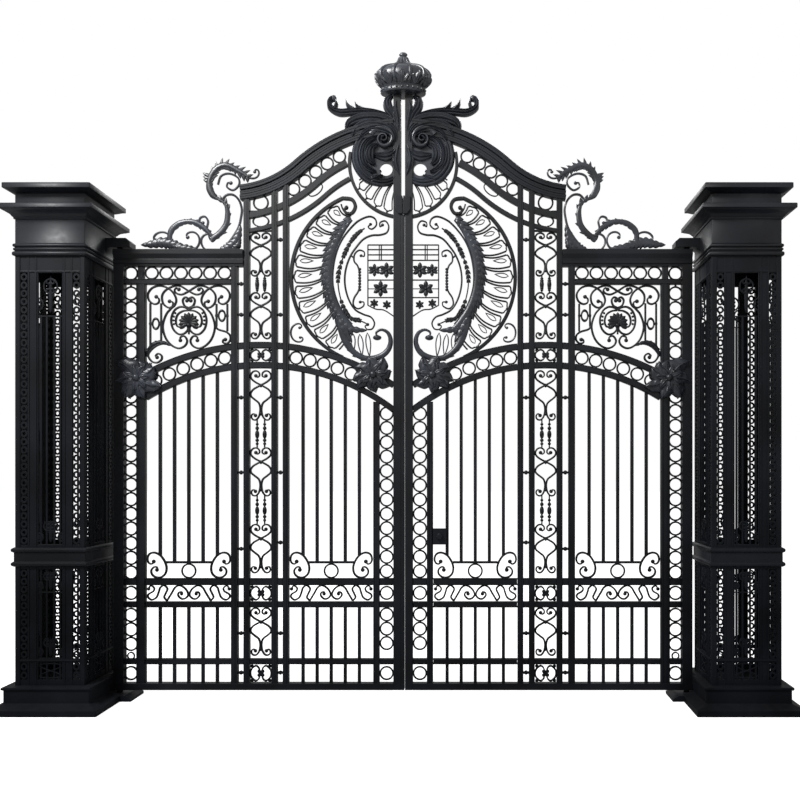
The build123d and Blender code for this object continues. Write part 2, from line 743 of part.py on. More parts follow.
# acanthus plume over the crest: curled lobes on a swept stem
with BuildPart() as acanthus_crest:
    with BuildSketch(leaf_plane):
        for u, z, heading, bends, step, width, tip in acanthus_lobes:
            strip(curl((u, z), heading, bends, step), width, tip)
        block(meeting_half_gap, acanthus_reach, acanthus_bottom, acanthus_top, mode=Mode.INTERSECT)
    extrude(amount=acanthus_half_depth, both=True)
    add(crest_rail.part, mode=Mode.SUBTRACT)
    add(crest_panel.part, mode=Mode.SUBTRACT)
    add(meeting_stile.part, mode=Mode.SUBTRACT)

# leaf bosses in relief on both faces, over the springing of the arches
with BuildPart() as heel_boss:
    with BuildSketch(leaf_plane):
        block(*heel_edges, boss_bottom, boss_top)
    extrude(amount=stile_depth / 2, both=True)
    boss_pad(heel_boss_centre, heel_boss_size)
    chamfer(heel_boss.faces().sort_by(Axis.Y)[0].edges(), boss_bevel)
    mirror(about=leaf_mid_plane)

with BuildPart() as meeting_boss:
    with BuildSketch(leaf_plane):
        low, high = (arch_height(meeting_edges[1], radius) for radius in (lower_arch, upper_arch))
        block(*meeting_edges, low - arch_rail_height, high)
    extrude(amount=stile_depth / 2, both=True)
    boss_pad(meeting_boss_centre, meeting_boss_size)
    chamfer(meeting_boss.faces().sort_by(Axis.Y)[0].edges(), boss_bevel)
    mirror(about=leaf_mid_plane)
    add(inner_bay_grille.part, mode=Mode.SUBTRACT)
    add(rosette.part, mode=Mode.SUBTRACT)
    add(meeting_ring_column.part, mode=Mode.SUBTRACT)

# keeper half on each meeting stile, with a chamfered lower end
with BuildPart() as catch_box:
    with BuildSketch(leaf_plane):
        Polygon(
            (catch_gap, catch_bottom),
            (catch_half_width - 22, catch_bottom),
            (catch_half_width, catch_bottom + 30),
            (catch_half_width, catch_top),
            (catch_gap, catch_top),
            align=None,
        )
    extrude(amount=catch_half_depth, both=True)
    add(meeting_stile.part, mode=Mode.SUBTRACT)

# ---- single pieces of the leaves ----

# rim lock on the front of the right leaf, with its knob
with BuildPart() as lock_box:
    lock_face = leaf_plane.offset(grille_depth / 2)
    with BuildSketch(lock_face):
        block(*lock_edges, lock_bottom, lock_top)
    extrude(amount=lock_depth)
    with BuildSketch(lock_face.offset(lock_depth)):
        with Locations(((lock_edges[0] + lock_edges[1]) / 2, (lock_bottom + lock_top) / 2)):
            RegularPolygon(lock_knob_radius, 8)
    extrude(amount=lock_knob_length)
    chamfer(lock_box.faces().sort_by(Axis.Y)[0].edges(), lock_knob_radius / 4)
    add(meeting_ring_column.part, mode=Mode.SUBTRACT)

# strip on the left leaf that closes the gap between the meeting stiles
with BuildPart() as astragal:
    with BuildSketch(leaf_plane):
        block(-meeting_half_gap, meeting_half_gap - running_clearance, leaf_bottom, astragal_top)
    extrude(amount=stile_depth / 2, both=True)

# crown on the left meeting stile: band, swelling cap and knob, eight-sided
with BuildPart() as crown:
    for turn in (0, 45, 90, 135):
        along = (cos(radians(turn)), sin(radians(turn)), 0)
        across = (sin(radians(turn)), -cos(radians(turn)), 0)
        with BuildSketch(Plane(origin=(gate_middle_x, leaf_set_back, crown_bottom), x_dir=along, z_dir=across)):
            stepped_outline(crown_profile)
        extrude(amount=crown_reach, both=True, mode=Mode.INTERSECT if turn else Mode.ADD)
    with BuildSketch(leaf_plane):
        block(-meeting_stile_edge, -meeting_half_gap, meeting_stile_top, crown_bottom)
    extrude(amount=stile_depth / 2, both=True)

# ---- right post ----

with BuildPart() as post_plinth:
    for turn in (0, 90):
        with BuildSketch(post_plane(turn)):
            stepped_outline(plinth_stages)
        extrude(amount=plinth_skirt_width / 2, both=True, mode=Mode.INTERSECT if turn else Mode.ADD)
    # room for the heel of the open leaf, and a seat for the shoe
    recess_side = post_inner_x - plinth_recess_projection
    recess_front = leaf_set_back - plinth_recess_ahead
    recess_back = plinth_skirt_width
    with BuildSketch(Plane.XY.offset(plinth_skirt_height)):
        with Locations((recess_side - shoe_reach / 2, (recess_front + recess_back) / 2)):
            Rectangle(shoe_reach, recess_back - recess_front)
    extrude(amount=plinth_height, mode=Mode.SUBTRACT)
    with BuildSketch(Plane.XY):
        with Locations((recess_side - shoe_reach / 2, leaf_set_back)):
            Rectangle(shoe_reach, shoe_half_width * 2)
    extrude(amount=plinth_skirt_height, mode=Mode.SUBTRACT)

with BuildPart() as pivot_shoe:
    with BuildSketch(Plane.XY):
        with Locations(((recess_side + post_inner_x - shoe_reach) / 2, leaf_set_back)):
            Rectangle(recess_side - post_inner_x + shoe_reach, shoe_half_width * 2)
    extrude(amount=plinth_skirt_height)
    shoe_nose = pivot_shoe.edges().group_by(Axis.X)[0].filter_by(Axis.Y).sort_by(Axis.Z)[-1]
    chamfer(shoe_nose, length=plinth_skirt_height * 0.6, length2=plinth_skirt_height)
    with BuildSketch(Plane.XY.offset(pin_socket_floor)):
        with Locations(hinge_place):
            Circle(pin_radius + pin_play)
    extrude(amount=plinth_skirt_height, mode=Mode.SUBTRACT)

# square openwork shaft: corner stiles, recessed fret strips and an open panel on each side
with BuildPart() as post_shaft:
    with BuildSketch(Plane.XY.offset(plinth_height)):
        with Locations((post_x, 0)):
            Rectangle(post_width, post_width)
            Rectangle(post_width - 2 * shaft_wall, post_width - 2 * shaft_wall, mode=Mode.SUBTRACT)
    extrude(amount=shaft_top - plinth_height)
    fret_middle = post_width / 2 - corner_stile_width - fret_width / 2
    panel_levels = [
        (panel_bottom, cross_rail_height - cross_rail_depth / 2),
        (cross_rail_height + cross_rail_depth / 2, mid_band_low - mid_moulding_height),
        (mid_band_high + mid_moulding_height, panel_top),
    ]
    for quarter in range(4):
        turn = 90 * quarter
        outward = (sin(radians(turn)), -cos(radians(turn)), 0)
        along = (cos(radians(turn)), sin(radians(turn)), 0)
        side = Plane(origin=(post_x, 0, 0), x_dir=along, z_dir=outward).offset(post_width / 2)
        with BuildSketch(side):
            for low, high in panel_levels:
                block(-panel_opening_width / 2, panel_opening_width / 2, low, high)
        extrude(amount=-2 * shaft_wall, mode=Mode.SUBTRACT)
        with BuildSketch(side):
            for low, high in ((panel_bottom, panel_levels[1][1]), panel_levels[2]):
                for middle in (-fret_middle, fret_middle):
                    block(middle - fret_width / 2, middle + fret_width / 2, low, high)
        extrude(amount=-(shaft_wall - fret_web), mode=Mode.SUBTRACT)

# two half-round mouldings and the flat band between them
with BuildPart() as post_mid_band:
    for turn in (0, 90):
        with BuildSketch(post_plane(turn)):
            stepped_outline(mid_band_stages)
        extrude(amount=post_width, both=True, mode=Mode.INTERSECT if turn else Mode.ADD)
    with BuildSketch(Plane.XY.offset(mid_band_low - mid_moulding_height)):
        with Locations((post_x, 0)):
            Rectangle(post_width, post_width)
    extrude(amount=mid_band_high - mid_band_low + 2 * mid_moulding_height, mode=Mode.SUBTRACT)

# head: beaded neck and plain block, then the cap with its two cornices
with BuildPart() as post_head:
    for turn in (0, 90):
        with BuildSketch(post_plane(turn)):
            stepped_outline(head_stages)
        extrude(amount=post_width, both=True, mode=Mode.INTERSECT if turn else Mode.ADD)

with BuildPart() as post_cap:
    for turn in (0, 90):
        with BuildSketch(post_plane(turn)):
            stepped_outline(cap_stages)
        extrude(amount=lower_cornice_width, both=True, mode=Mode.INTERSECT if turn else Mode.ADD)

# bracket over the heel, arched underneath, with the bore for the top pin
with BuildPart() as pivot_arm:
    arm_plane = Plane(origin=(post_inner_x, leaf_set_back, 0), x_dir=(-1, 0, 0), z_dir=(0, 1, 0))
    with BuildSketch(arm_plane):
        with BuildLine():
            Line((0, pivot_arm_top), (pivot_arm_reach - 30, pivot_arm_top))
            Line((pivot_arm_reach - 30, pivot_arm_top), (pivot_arm_reach, pivot_arm_top - 26))
            Line((pivot_arm_reach, pivot_arm_top - 26), (pivot_arm_reach, pivot_arm_bottom))
            Line((pivot_arm_reach, pivot_arm_bottom), (hinge_to_post - 38, pivot_arm_bottom))
            ThreePointArc(
                (hinge_to_post - 38, pivot_arm_bottom),
                (14, pivot_arm_bottom - 14),
                (0, pivot_arm_bottom - 45),
            )
            Line((0, pivot_arm_bottom - 45), (0, pivot_arm_top))
        make_face()
    extrude(amount=pivot_arm_half_width, both=True)
    with BuildSketch(Plane.XY.offset(pivot_arm_bottom)):
        with Locations(hinge_place):
            Circle(pin_radius + pin_play)
    extrude(amount=pivot_arm_top - pivot_arm_bottom, mode=Mode.SUBTRACT)

# short stubs on the outer side, where a railing would start
with BuildPart() as right_fence_stubs:
    with BuildSketch(stub_plane):
        for height in (mid_band_low, mid_band_high):
            with Locations((0, height)):
                Rectangle(stub_width, mid_moulding_height)
    extrude(amount=stub_reach)
    add(post_mid_band.part, mode=Mode.SUBTRACT)

with BuildPart() as left_fence_stubs:
    mirror(right_fence_stubs.part, about=middle_plane)
    with BuildSketch(left_stub_plane):
        for height, size in upper_stubs:
            with Locations((0, height)):
                Rectangle(stub_width, size)
    extrude(amount=stub_reach)

# ---- every piece of the right side, its mirror image on the left, and the single pieces ----

os.makedirs("parts", exist_ok=True)
paired = {
    "hanging_stile": hanging_stile,
    "meeting_stile": meeting_stile,
    "bottom_rail": bottom_rail,
    "hanging_ring_column": hanging_ring_column,
    "meeting_ring_column": meeting_ring_column,
    "outer_bay": outer_bay_grille,
    "inner_bay": inner_bay_grille,
    "pilaster": pilaster,
    "side_panel": side_panel,
    "side_cornice": side_cornice,
    "side_crest": side_crest,
    "crest_rail": crest_rail,
    "crest_panel": crest_panel,
    "rosette": rosette,
    "acanthus_crest": acanthus_crest,
    "heel_boss": heel_boss,
    "meeting_boss": meeting_boss,
    "catch_box": catch_box,
    "post_plinth": post_plinth,
    "post_shaft": post_shaft,
    "post_mid_band": post_mid_band,
    "post_head": post_head,
    "post_cap": post_cap,
    "pivot_arm": pivot_arm,
    "pivot_shoe": pivot_shoe,
}
for name, right_piece in paired.items():
    right_piece.part.label = "right_" + name
    export_step(right_piece.part, f"parts/right_{name}.step")
    with BuildPart() as left_piece:
        mirror(right_piece.part, about=middle_plane)
    left_piece.part.label = "left_" + name
    export_step(left_piece.part, f"parts/left_{name}.step")

single = {
    "lock_box": lock_box,
    "astragal": astragal,
    "crown": crown,
    "left_fence_stubs": left_fence_stubs,
    "right_fence_stubs": right_fence_stubs,
}
for name, piece in single.items():
    piece.part.label = name
    export_step(piece.part, f"parts/{name}.step")
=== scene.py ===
import bpy
import bmesh
import numpy as np
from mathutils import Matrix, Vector


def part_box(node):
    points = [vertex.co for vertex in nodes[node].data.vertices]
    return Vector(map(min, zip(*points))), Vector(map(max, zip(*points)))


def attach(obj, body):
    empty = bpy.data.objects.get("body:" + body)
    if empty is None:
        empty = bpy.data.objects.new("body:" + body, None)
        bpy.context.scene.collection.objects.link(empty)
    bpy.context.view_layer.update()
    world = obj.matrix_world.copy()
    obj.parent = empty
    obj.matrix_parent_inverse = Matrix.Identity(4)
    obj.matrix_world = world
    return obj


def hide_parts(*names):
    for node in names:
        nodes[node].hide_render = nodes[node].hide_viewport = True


# Double-leaf wrought iron driveway gate. The CAD frame gives places and sizes; the ironwork here
# is worked out as surfaces. Leaf shapes are written for the right leaf in millimetres, as distance
# u from the middle of the gate and height z, and mirrored for the left leaf.

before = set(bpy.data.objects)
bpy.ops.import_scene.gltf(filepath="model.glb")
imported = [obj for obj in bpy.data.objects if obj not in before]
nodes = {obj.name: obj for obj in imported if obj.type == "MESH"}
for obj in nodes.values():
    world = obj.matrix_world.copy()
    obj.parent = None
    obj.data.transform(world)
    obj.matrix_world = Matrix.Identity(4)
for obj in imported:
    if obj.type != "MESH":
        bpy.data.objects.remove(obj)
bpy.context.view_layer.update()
shaftLow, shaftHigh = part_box("right_post_shaft")
leftLow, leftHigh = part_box("left_post_shaft")
stileLow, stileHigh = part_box("right_hanging_stile")
gateMiddle = (shaftLow.x + shaftHigh.x + leftLow.x + leftHigh.x) / 4 * 1000
leafY = (stileLow.y + stileHigh.y) / 2 * 1000
postPitch = ((shaftLow.x + shaftHigh.x) - (leftLow.x + leftHigh.x)) / 2 * 1000
print("frame loaded:", len(nodes), "nodes")


# a grid of points, rows along and columns round, as (points, quads, triangles);
# open ends are closed by a fan to the mean of the end row
def gridShape(points, closeAlong=False):
    rows, columns = points.shape[:2]
    row = np.arange(rows if closeAlong else rows - 1)[:, None]
    column = np.arange(columns)[None, :]
    after = (column + 1) % columns
    below = (row + 1) % rows
    quads = np.stack([row * columns + column, row * columns + after,
                      below * columns + after, below * columns + column], -1).reshape(-1, 4)
    verts = points.reshape(-1, 3)
    if closeAlong:
        return verts, quads, np.zeros((0, 3), int)
    count = len(verts)
    ends = np.stack([points[0].mean(0), points[-1].mean(0)])
    first = column[0]
    near = np.stack([first, np.full(columns, count), after[0]], -1)
    last = (rows - 1) * columns
    far = np.stack([last + first, last + after[0], np.full(columns, count + 1)], -1)
    return np.vstack([verts, ends]), quads, np.vstack([near, far])


# several shapes as one: the corner numbers of each move past those before it
def joined(shapes):
    verts, quads, triangles = zip(*shapes)
    starts = np.cumsum([0] + [len(part) for part in verts[:-1]])
    return (np.vstack(verts), np.vstack([part + start for part, start in zip(quads, starts)]),
            np.vstack([part + start for part, start in zip(triangles, starts)]))


# the same shape moved to each of many places (u, depth, z)
def copies(shape, places):
    verts, quads, triangles = shape
    places = np.asarray(places, float).reshape(-1, 3)
    shift = (np.arange(len(places)) * len(verts))[:, None, None]
    return ((verts[None] + places[:, None]).reshape(-1, 3),
            (quads[None] + shift).reshape(-1, 4), (triangles[None] + shift).reshape(-1, 3))


# a shape and its mirror image in u about a line: u turns into 2 * line - u
def pairAbout(shape, line):
    verts = shape[0].copy()
    verts[:, 0] = 2 * line - verts[:, 0]
    return joined([shape, (verts, *shape[1:])])


# outline of a bar's section: each of cos and sin of the angle raised to a power, so that
# 1 is round and a small power is a square with eased corners
def barSection(sides, power):
    angle = 2 * np.pi * (np.arange(sides) + 0.5) / sides
    across, ahead = np.cos(angle), np.sin(angle)
    return np.sign(across) * np.abs(across) ** power, np.sign(ahead) * np.abs(ahead) ** power


# directions along a path: the step from point to point, divided by its own length
def headingsOf(path, closed=False):
    run = np.roll(path, -1, 0) - np.roll(path, 1, 0) if closed else np.gradient(path, axis=0)
    return run / np.maximum(np.linalg.norm(run, axis=1, keepdims=True), 1e-9)


# points beside a path: path + normal * across + heading * along, standing forward by depth
def beside(path, run, across, depth, along=0):
    return np.stack([path[:, :1] - run[:, 1:] * across + run[:, :1] * along, depth + 0 * across,
                     path[:, 1:] + run[:, :1] * across + run[:, 1:] * along], -1)


# a section carried along a path in the leaf plane: point = path + normal * half width * across,
# and depth = half depth * ahead; width, depth and offset may change along the path
def carried(path, width, depth, sides=8, power=0.3, ahead=0, closed=False):
    path = np.asarray(path, float)
    half, thick, offset = (np.broadcast_to(np.asarray(value, float), len(path))[:, None]
                           for value in (width, depth, ahead))
    across, front = barSection(sides, power)
    points = beside(path, headingsOf(path, closed), half / 2 * across, offset + thick / 2 * front)
    return gridShape(points, closed)


# a straight bar between two points
def bar(u0, z0, u1, z1, width, depth, sides=8, power=0.25, ahead=0):
    return carried([(u0, z0), (u1, z1)], width, depth, sides, power, ahead)


# a block from edges
def block(u0, u1, z0, z1, depth):
    return bar((u0 + u1) / 2, z0, (u0 + u1) / 2, z1, u1 - u0, depth, 8, 0.12)


# round rings of round wire: radius = middle + wire cos b, depth = wire sin b
def hoops(centres, diameter, wire, depth=17, steps=28, sides=8, stretch=1, ahead=0):
    turn = 2 * np.pi * np.arange(steps)[:, None] / steps
    across, front = barSection(sides, 0.8)
    reach = (diameter - wire) / 2 + wire / 2 * across
    points = np.stack([reach * np.cos(turn), depth / 2 * front + 0 * turn,
                       reach * np.sin(turn) * stretch], -1)
    u, z = np.asarray(centres, float).reshape(-1, 2).T
    return copies(gridShape(points, True), np.stack([u, 0 * u + ahead, z], -1))


# turned shape about an upright axis: radius and height from a profile, the angle all round
def turned(profile, places=(0, 0, 0), sides=16):
    profile = np.asarray(profile, float)
    turn = 2 * np.pi * np.arange(sides)[None, :] / sides
    points = np.stack([profile[:, :1] * np.cos(turn), profile[:, :1] * np.sin(turn),
                       profile[:, 1:] + 0 * turn], -1)
    return copies(gridShape(points), places)


# beads: a ball with a narrow neck above and below, height = h cos a, radius = r sin a
def bead(radius, height, places, sides=10, steps=7):
    angle = np.linspace(0.25, np.pi - 0.25, steps)
    profile = np.stack([radius * np.sin(angle), -height / 2 * np.cos(angle)], -1)
    return turned(profile, places, sides)


# a path whose heading is the running sum of its curvature, and whose points are the running sum of
# its heading; each bend is (first radius, last radius, turn in degrees), curvature changing evenly
def bentPath(start, heading, bends, step=7):
    curvature = []
    for first, last, turnBy in bends:
        length = 2 * abs(np.radians(turnBy)) / (1 / first + 1 / last)
        count = max(int(length / step), int(abs(turnBy) / 14), 2)
        k = np.linspace(1 / first, 1 / last, count) * np.sign(turnBy)
        curvature.append(np.stack([k, np.full(count, length / count)], -1))
    curvature = np.vstack(curvature)
    turns = curvature[:, 0] * curvature[:, 1]
    direction = np.radians(heading) + np.cumsum(turns) - turns / 2
    steps = np.stack([np.cos(direction), np.sin(direction)], -1) * curvature[:, 1:]
    return np.vstack([[start], np.asarray(start) + np.cumsum(steps, 0)])


# a path that sets out both ways from one point
def twoWay(start, heading, bendsAhead, bendsBehind, step=7):
    ahead = bentPath(start, heading, bendsAhead, step)
    behind = bentPath(start, heading + 180, bendsBehind, step)
    return np.vstack([behind[::-1], ahead[1:]])


# a scroll of flat bar with a round ball at each curled end: over the last 0.3 of its length the width
# falls evenly to a tip; eyes is 2 for both ends, 1 for the last, -1 for the first and 0 for none
def scroll(path, width=12, depth=16, eyes=2, eye=1.25, tip=0.6, ahead=0, sides=6):
    s = np.linspace(0, 1, len(path))
    fromStart = np.clip(s / 0.3, 0, 1) if eyes != 1 else np.ones(len(path))
    fromEnd = np.clip((1 - s) / 0.3, 0, 1) if eyes != -1 else np.ones(len(path))
    taper = width * (tip + (1 - tip) * np.minimum(fromStart, fromEnd))
    shapes = [carried(path, taper, depth, sides, 0.5, ahead)]
    ends = {2: (0, -1), 1: (-1,), -1: (0,), 0: ()}[eyes]
    if ends:
        angle = np.linspace(0.2, np.pi - 0.2, 5)[:, None]
        turn = 2 * np.pi * np.arange(10)[None, :] / 10
        reach = width * eye / 2 * 1.3 * np.sin(angle)
        ball = np.stack([reach * np.cos(turn), depth / 2 * 1.15 * np.cos(angle) + 0 * turn,
                         reach * np.sin(turn)], -1)
        shapes.append(copies(gridShape(ball), [(path[end][0], ahead, path[end][1]) for end in ends]))
    return joined(shapes)


# a leaf: a lens-shaped section carried along a spine; its half width is
# w * sin(pi s^a)^b, cut by lobes * |sin|, and it leans back along the spine away from the midrib
def leaf(spine, width, thick, lobes=5, cut=0.35, lean=0.5, ahead=0, fullAt=0.5, blunt=0.6, sides=12):
    spine = np.asarray(spine, float)
    along = np.concatenate([[0], np.cumsum(np.linalg.norm(np.diff(spine, axis=0), axis=1))])
    s = np.linspace(0.004, 0.996, max(lobes * 6, 12))
    path = np.stack([np.interp(s * along[-1], along, spine[:, k]) for k in (0, 1)], -1)
    swell = np.sin(np.pi * s ** (np.log(0.5) / np.log(fullAt))) ** blunt
    teeth = 1 - cut * (1 - np.abs(np.sin(np.pi * lobes * s)) ** 0.7)
    angle = 2 * np.pi * np.arange(sides)[None, :] / sides
    across, front = np.cos(angle), np.sin(angle)
    veins = 0.25 * np.abs(np.sin(np.pi * lobes * s))[:, None] * np.abs(across)
    ridge = 1 - 0.35 * np.abs(across) ** 0.6 + veins
    side = (width / 2 * swell * teeth)[:, None] * across
    depth = ahead + (thick / 2 * (0.35 + 0.65 * swell))[:, None] * front * ridge
    return gridShape(beside(path, headingsOf(path), side, depth, -lean * np.abs(side)))


# a closed drop or petal outline between its root and its tip, as a thin bar:
# half width = w * sin(pi t^a) there and back
def petalLoop(root, tip, width, barWidth, barDepth, fullAt=0.6, steps=9):
    root, tip = np.asarray(root, float), np.asarray(tip, float)
    t = np.linspace(0, 1, steps)
    half = width / 2 * np.sin(np.pi * t ** (np.log(0.5) / np.log(fullAt))) ** 0.75
    axis = tip - root
    normal = np.array([-axis[1], axis[0]]) / np.linalg.norm(axis)
    out = root + t[:, None] * axis + normal * half[:, None]
    back = root + t[::-1, None] * axis - normal * half[::-1, None]
    return carried(np.vstack([out, back[1:-1]]), barWidth, barDepth, 6, 0.5, 0, True)


# a smooth path through a few points: each stretch is the Catmull-Rom cubic of its four neighbours
def through(points, count=10):
    p = np.asarray(points, float)
    p = np.vstack([2 * p[0] - p[1], p, 2 * p[-1] - p[-2]])
    t = (np.arange(count) / count)[None, :, None]
    a, b, c, d = p[:-3, None], p[1:-2, None], p[2:-1, None], p[3:, None]
    curve = 0.5 * (2 * b + (c - a) * t + (2 * a - 5 * b + 4 * c - d) * t ** 2
                   + (3 * b - a - 3 * c + d) * t ** 3)
    return np.vstack([curve.reshape(-1, 2), p[-2:-1]])


# widths given at a few places, spread evenly along a path
def widths(path, values):
    return np.interp(np.linspace(0, 1, len(path)), np.linspace(0, 1, len(values)), values)


# leafy edge: pointed lobes standing off a path on one side, each a small leaf turned back along it
def fringe(path, count, length, width, side=1, slant=55, start=0.06, end=0.94, depth=12):
    path = np.asarray(path, float)
    at = np.linspace(start, end, count) * (len(path) - 1)
    run = np.gradient(path, axis=0)
    u, z, runU, runZ = (np.interp(at, np.arange(len(path)), values) for values in (*path.T, *run.T))
    ways = np.radians(np.degrees(np.arctan2(runZ, runU)) + side * slant)
    parts = []
    for i, way in enumerate(ways):
        spot = np.array([u[i], z[i]])
        reach = length * (0.8 + 0.35 * np.sin(i * 2.4) ** 2) * np.array([np.cos(way), np.sin(way)])
        spine = [spot - reach * 0.25, spot + reach * 0.8]
        parts.append(leaf(spine, width, depth, 1, 0, 0.1, 0, 0.38, 0.8, 6))
    return joined(parts)


# gadroons: pairs of thin bars fan from a root line to a tip line, bowed by sin of the way along;
# between neighbours stand a scalloped tip and a narrow drop
def gadroons(roots, tips, bow, gap, lineBar, depth=14, drop=True, bulge=22):
    parts = []
    t = np.linspace(0, 1, 9)
    s = np.linspace(0, 1, 13)
    scallop = bulge * np.sin(np.pi * s) ** 0.6 * (0.72 + 0.28 * np.abs(np.cos(2 * np.pi * s)))
    axes = tips - roots
    for root, axis in zip(roots, axes):
        normal = np.array([-axis[1], axis[0]]) / np.linalg.norm(axis)
        for side in (-1, 1):
            shift = side * gap / 2 * (0.45 + 0.55 * t) + bow * np.sin(np.pi * t)
            parts.append(carried(root + t[:, None] * axis + normal * shift[:, None], lineBar, depth, 6, 0.5))
    for i, (a, b) in enumerate(zip(tips[:-1], tips[1:])):
        outward = axes[i] + axes[i + 1]
        outward = outward / np.linalg.norm(outward)
        size = np.linalg.norm(b - a)
        ends = (b - a) / size * gap / 2
        edge = (a + ends) + s[:, None] * (b - a - 2 * ends)
        parts.append(carried(edge + outward * scallop[:, None], lineBar * 0.9, depth, 6, 0.5))
        peak = (a + b) / 2 + outward * bulge
        parts.append(leaf([peak - outward * 10, peak + outward * 22], 15, 12, 1, 0, 0, 0, 0.4, 0.8, 6))
        if drop:
            base = (roots[i] + roots[i + 1]) / 2
            rise = (a + b) / 2 - base
            parts.append(petalLoop(base + rise * 0.46, base + rise * 0.95, size * 0.26, 6.5, 11, 0.62, 8))
    return joined(parts)


# points at a radius about a centre, (u + r cos, z + r sin), at angles in degrees from +u
def polar(centre, radius, angles):
    turn = np.radians(angles)
    return np.stack([centre[0] + radius * np.cos(turn), centre[1] + radius * np.sin(turn)], -1)


# an arc as a path between two such angles
def arcPath(centre, radius, first, last, count=40):
    return polar(centre, radius, np.linspace(first, last, count))


# a profile of (reach from the axis, height) carried round a square, corners cut by the ease
def squared(profile, centre=(0, 0), ease=4):
    profile = np.asarray(profile, float)
    reach = profile[:, :1]
    near = np.repeat(np.array([(1, -1), (1, 1), (-1, 1), (-1, -1)], float), 2, 0)
    cut = np.array([(1, 0), (0, 1), (0, 1), (1, 0), (1, 0), (0, 1), (0, 1), (1, 0)], float)
    points = np.stack([centre[0] + near[None, :, 0] * (reach - ease * cut[None, :, 0]),
                       centre[1] + near[None, :, 1] * (reach - ease * cut[None, :, 1]),
                       profile[:, 1:] + np.zeros((1, 8))], -1)
    return gridShape(points)


made = {"triangles": 0}


# a finished object at the origin, from a shape in the frame's own axes and millimetres
def makePiece(name, shape, body, stands, paint, sharp=38):
    verts, quads, triangles = shape
    mesh = bpy.data.meshes.new(name)
    mesh.from_pydata((verts / 1000).tolist(), [], quads.tolist() + triangles.tolist())
    rebuilt = bmesh.new()
    rebuilt.from_mesh(mesh)
    bmesh.ops.recalc_face_normals(rebuilt, faces=rebuilt.faces)
    rebuilt.to_mesh(mesh)
    rebuilt.free()
    mesh.polygons.foreach_set("use_smooth", np.ones(len(mesh.polygons), bool))
    mesh.set_sharp_from_angle(angle=np.radians(sharp))
    mesh.materials.append(paint)
    piece = bpy.data.objects.new(name, mesh)
    bpy.context.scene.collection.objects.link(piece)
    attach(piece, body)
    present = [node for node in stands if node in nodes]
    if present:
        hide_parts(*present)
    made["triangles"] += len(quads) * 2 + len(triangles)


# a piece for both leaves: u from the gate's middle, depth positive towards the front
def onLeaves(name, shape, stands, paint, sharp=38):
    u, ahead, z = shape[0].T
    for side, sign in (("right", 1), ("left", -1)):
        placed = np.stack([gateMiddle + sign * u, leafY - ahead, z], -1)
        makePiece(side + "_" + name, (placed, *shape[1:]), side + "_leaf",
                  [side + "_" + node for node in stands], paint, sharp)


# a piece for both posts, in each post's own axes
def onPosts(name, shape, stands, paint, sharp=38):
    u, depth, z = shape[0].T
    for side, sign in (("right", 1), ("left", -1)):
        placed = np.stack([gateMiddle + sign * (postPitch / 2 + u), depth, z], -1)
        makePiece(side + "_" + name, (placed, *shape[1:]), "posts",
                  [side + "_" + node for node in stands], paint, sharp)


paintLook = {
    "dust": (0.015, 0.015, 0.016),   # settled on upward faces and near the ground
    "paintedShadeAtGround": 0.12,   # painted shade: share of the reflection left at the ground, so the lower parts read darker
    "topAt": 4.4,   # height in metres where the reflection is full and the painted shade ends
    # by part, partly painted light: the cast ornament's paler tones and stronger reflection paint it as lit,
    # and the post plates' darker tones and weaker reflection paint them as shaded; each gives a darker tone
    # and a paler tone that a slow noise drifts between, depth and fineness of the dents, scale of the drift,
    # roughness range, reflection at the top
    "satinIronBars": ((0.0018, 0.0020, 0.0026), (0.0060, 0.0070, 0.0095),
                      0.25, 55, 2.2, (0.34, 0.56), 0.32),
    "satinIronMouldings": ((0.0022, 0.0026, 0.0034), (0.0080, 0.0094, 0.0130),
                           0.18, 30, 1.4, (0.34, 0.56), 0.24),
    "satinCastOrnament": ((0.0060, 0.0068, 0.0090), (0.0230, 0.0265, 0.0350),
                          0.45, 120, 5, (0.26, 0.42), 0.50),
    "satinPostPlates": ((0.0013, 0.0015, 0.0020), (0.0048, 0.0058, 0.0080),
                        0.2, 42, 1.8, (0.50, 0.68), 0.16),
}


# sets a node's inputs: a socket of another node is linked, anything else is a constant
def feed(tree, node, inputs):
    for name, value in inputs.items():
        if isinstance(value, bpy.types.NodeSocket):
            tree.links.new(value, node.inputs[name])
        else:
            node.inputs[name].default_value = value


# a new node with its inputs set
def addNode(tree, kind, inputs, operation=None, clamp=False):
    node = tree.nodes.new("ShaderNode" + kind)
    if operation:
        node.operation = operation
        node.use_clamp = clamp
    feed(tree, node, inputs)
    return node
